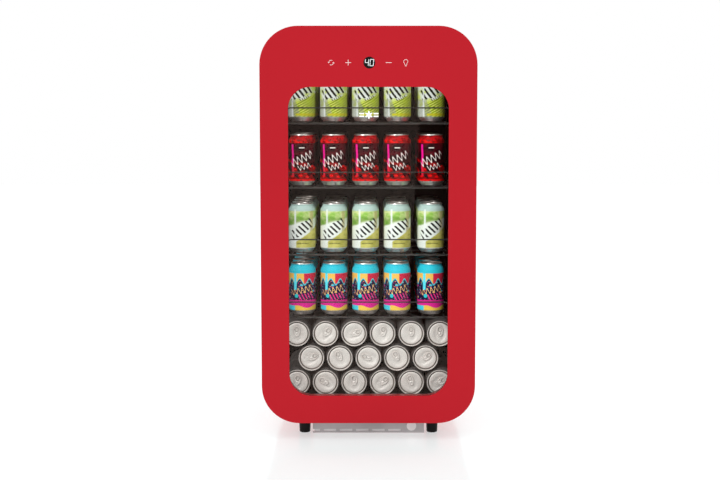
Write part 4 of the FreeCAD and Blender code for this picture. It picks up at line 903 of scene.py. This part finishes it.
def add_lamp(name, data, place, target):
    """A lamp that isn't seen itself, aimed from its place to the target."""
    lamp = bpy.data.objects.new(name, data)
    lamp.location = place
    lamp.rotation_euler = (Vector(target) - Vector(place)).to_track_quat("-Z", "Y").to_euler()
    lamp.visible_camera = False
    bpy.context.scene.collection.objects.link(lamp)
    return lamp


def make_light(cans):
    """Even white surroundings, a slanting lamp for the cans alone and a faint glow inside the room."""
    scene = bpy.context.scene
    scene.view_settings.view_transform = "Standard"
    world = bpy.data.worlds.new("studio")
    world.use_nodes = True
    world.node_tree.nodes["Background"].inputs["Color"].default_value = (1.0, 1.0, 1.0, 1.0)
    world.node_tree.nodes["Background"].inputs["Strength"].default_value = 1.0
    scene.world = world
    slant = bpy.data.lights.new("slanting", "SUN")
    slant.energy, slant.angle = 1.85, math.radians(10)
    lamp = add_lamp("slanting", slant, (-1.8, -3.0, 2.3), (0, 0, 0))
    contents = bpy.data.collections.new("contents")
    for piece in cans:
        contents.objects.link(piece)
    lamp.light_linking.receiver_collection = contents
    lamp.light_linking.blocker_collection = contents
    low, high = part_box("inner_liner")
    wall = 12 * MM
    fill = bpy.data.lights.new("room_fill", "AREA")
    fill.shape, fill.size, fill.size_y = "RECTANGLE", high.x - low.x - 2 * wall, high.z - low.z - 2 * wall
    fill.energy = FILL_RADIANCE * math.pi * fill.size * fill.size_y
    add_lamp("room_fill", fill, (0, low.y - 8 * MM, (low.z + high.z) / 2), (0, 0, (low.z + high.z) / 2))


def make_camera():
    data = bpy.data.cameras.new("camera")
    data.sensor_width, data.lens = 36, 61.0
    data.shift_x, data.shift_y = -0.0117, -0.03
    camera = bpy.data.objects.new("camera", data)
    camera.location = (0, DOOR_FRONT - CAMERA_AWAY, CAMERA_HIGH)
    camera.rotation_euler = (math.radians(90 - CAMERA_DOWN), 0, 0)
    bpy.context.scene.collection.objects.link(camera)
    bpy.context.scene.camera = camera


# ---------------------------------------------------------------------------------------------------
# The whole cooler
# ---------------------------------------------------------------------------------------------------
lid_metal = aluminium("lid_metal")
black = display(16, 15, 15)
liner_black = moulded("liner_black", black, 0.5, 0.1, 0.25)
dress_nodes(enamel("red_shell", display(196, 26, 38)), black, liner_black)
foot_metal = aluminium("can_foot_metal", (0.86, 0.81, 0.78, 1.0), 0.3, 0.9)
# Painted shade: a darker can metal for lid grooves, the tab's edges, standing cans' lid panels and the bare
# metal of the rows behind the front.
painted_shade_metal = aluminium("can_metal_painted_shade", (0.26, 0.22, 0.2, 1.0))
cans = standing_cans(foot_metal, painted_shade_metal) + [lying_cans(lid_metal, painted_shade_metal)]
door_bezel()
door_window(liner_black)
touch_controls()
display_face()
emblem()
make_floor()
make_flag()
make_light(cans)
make_camera()
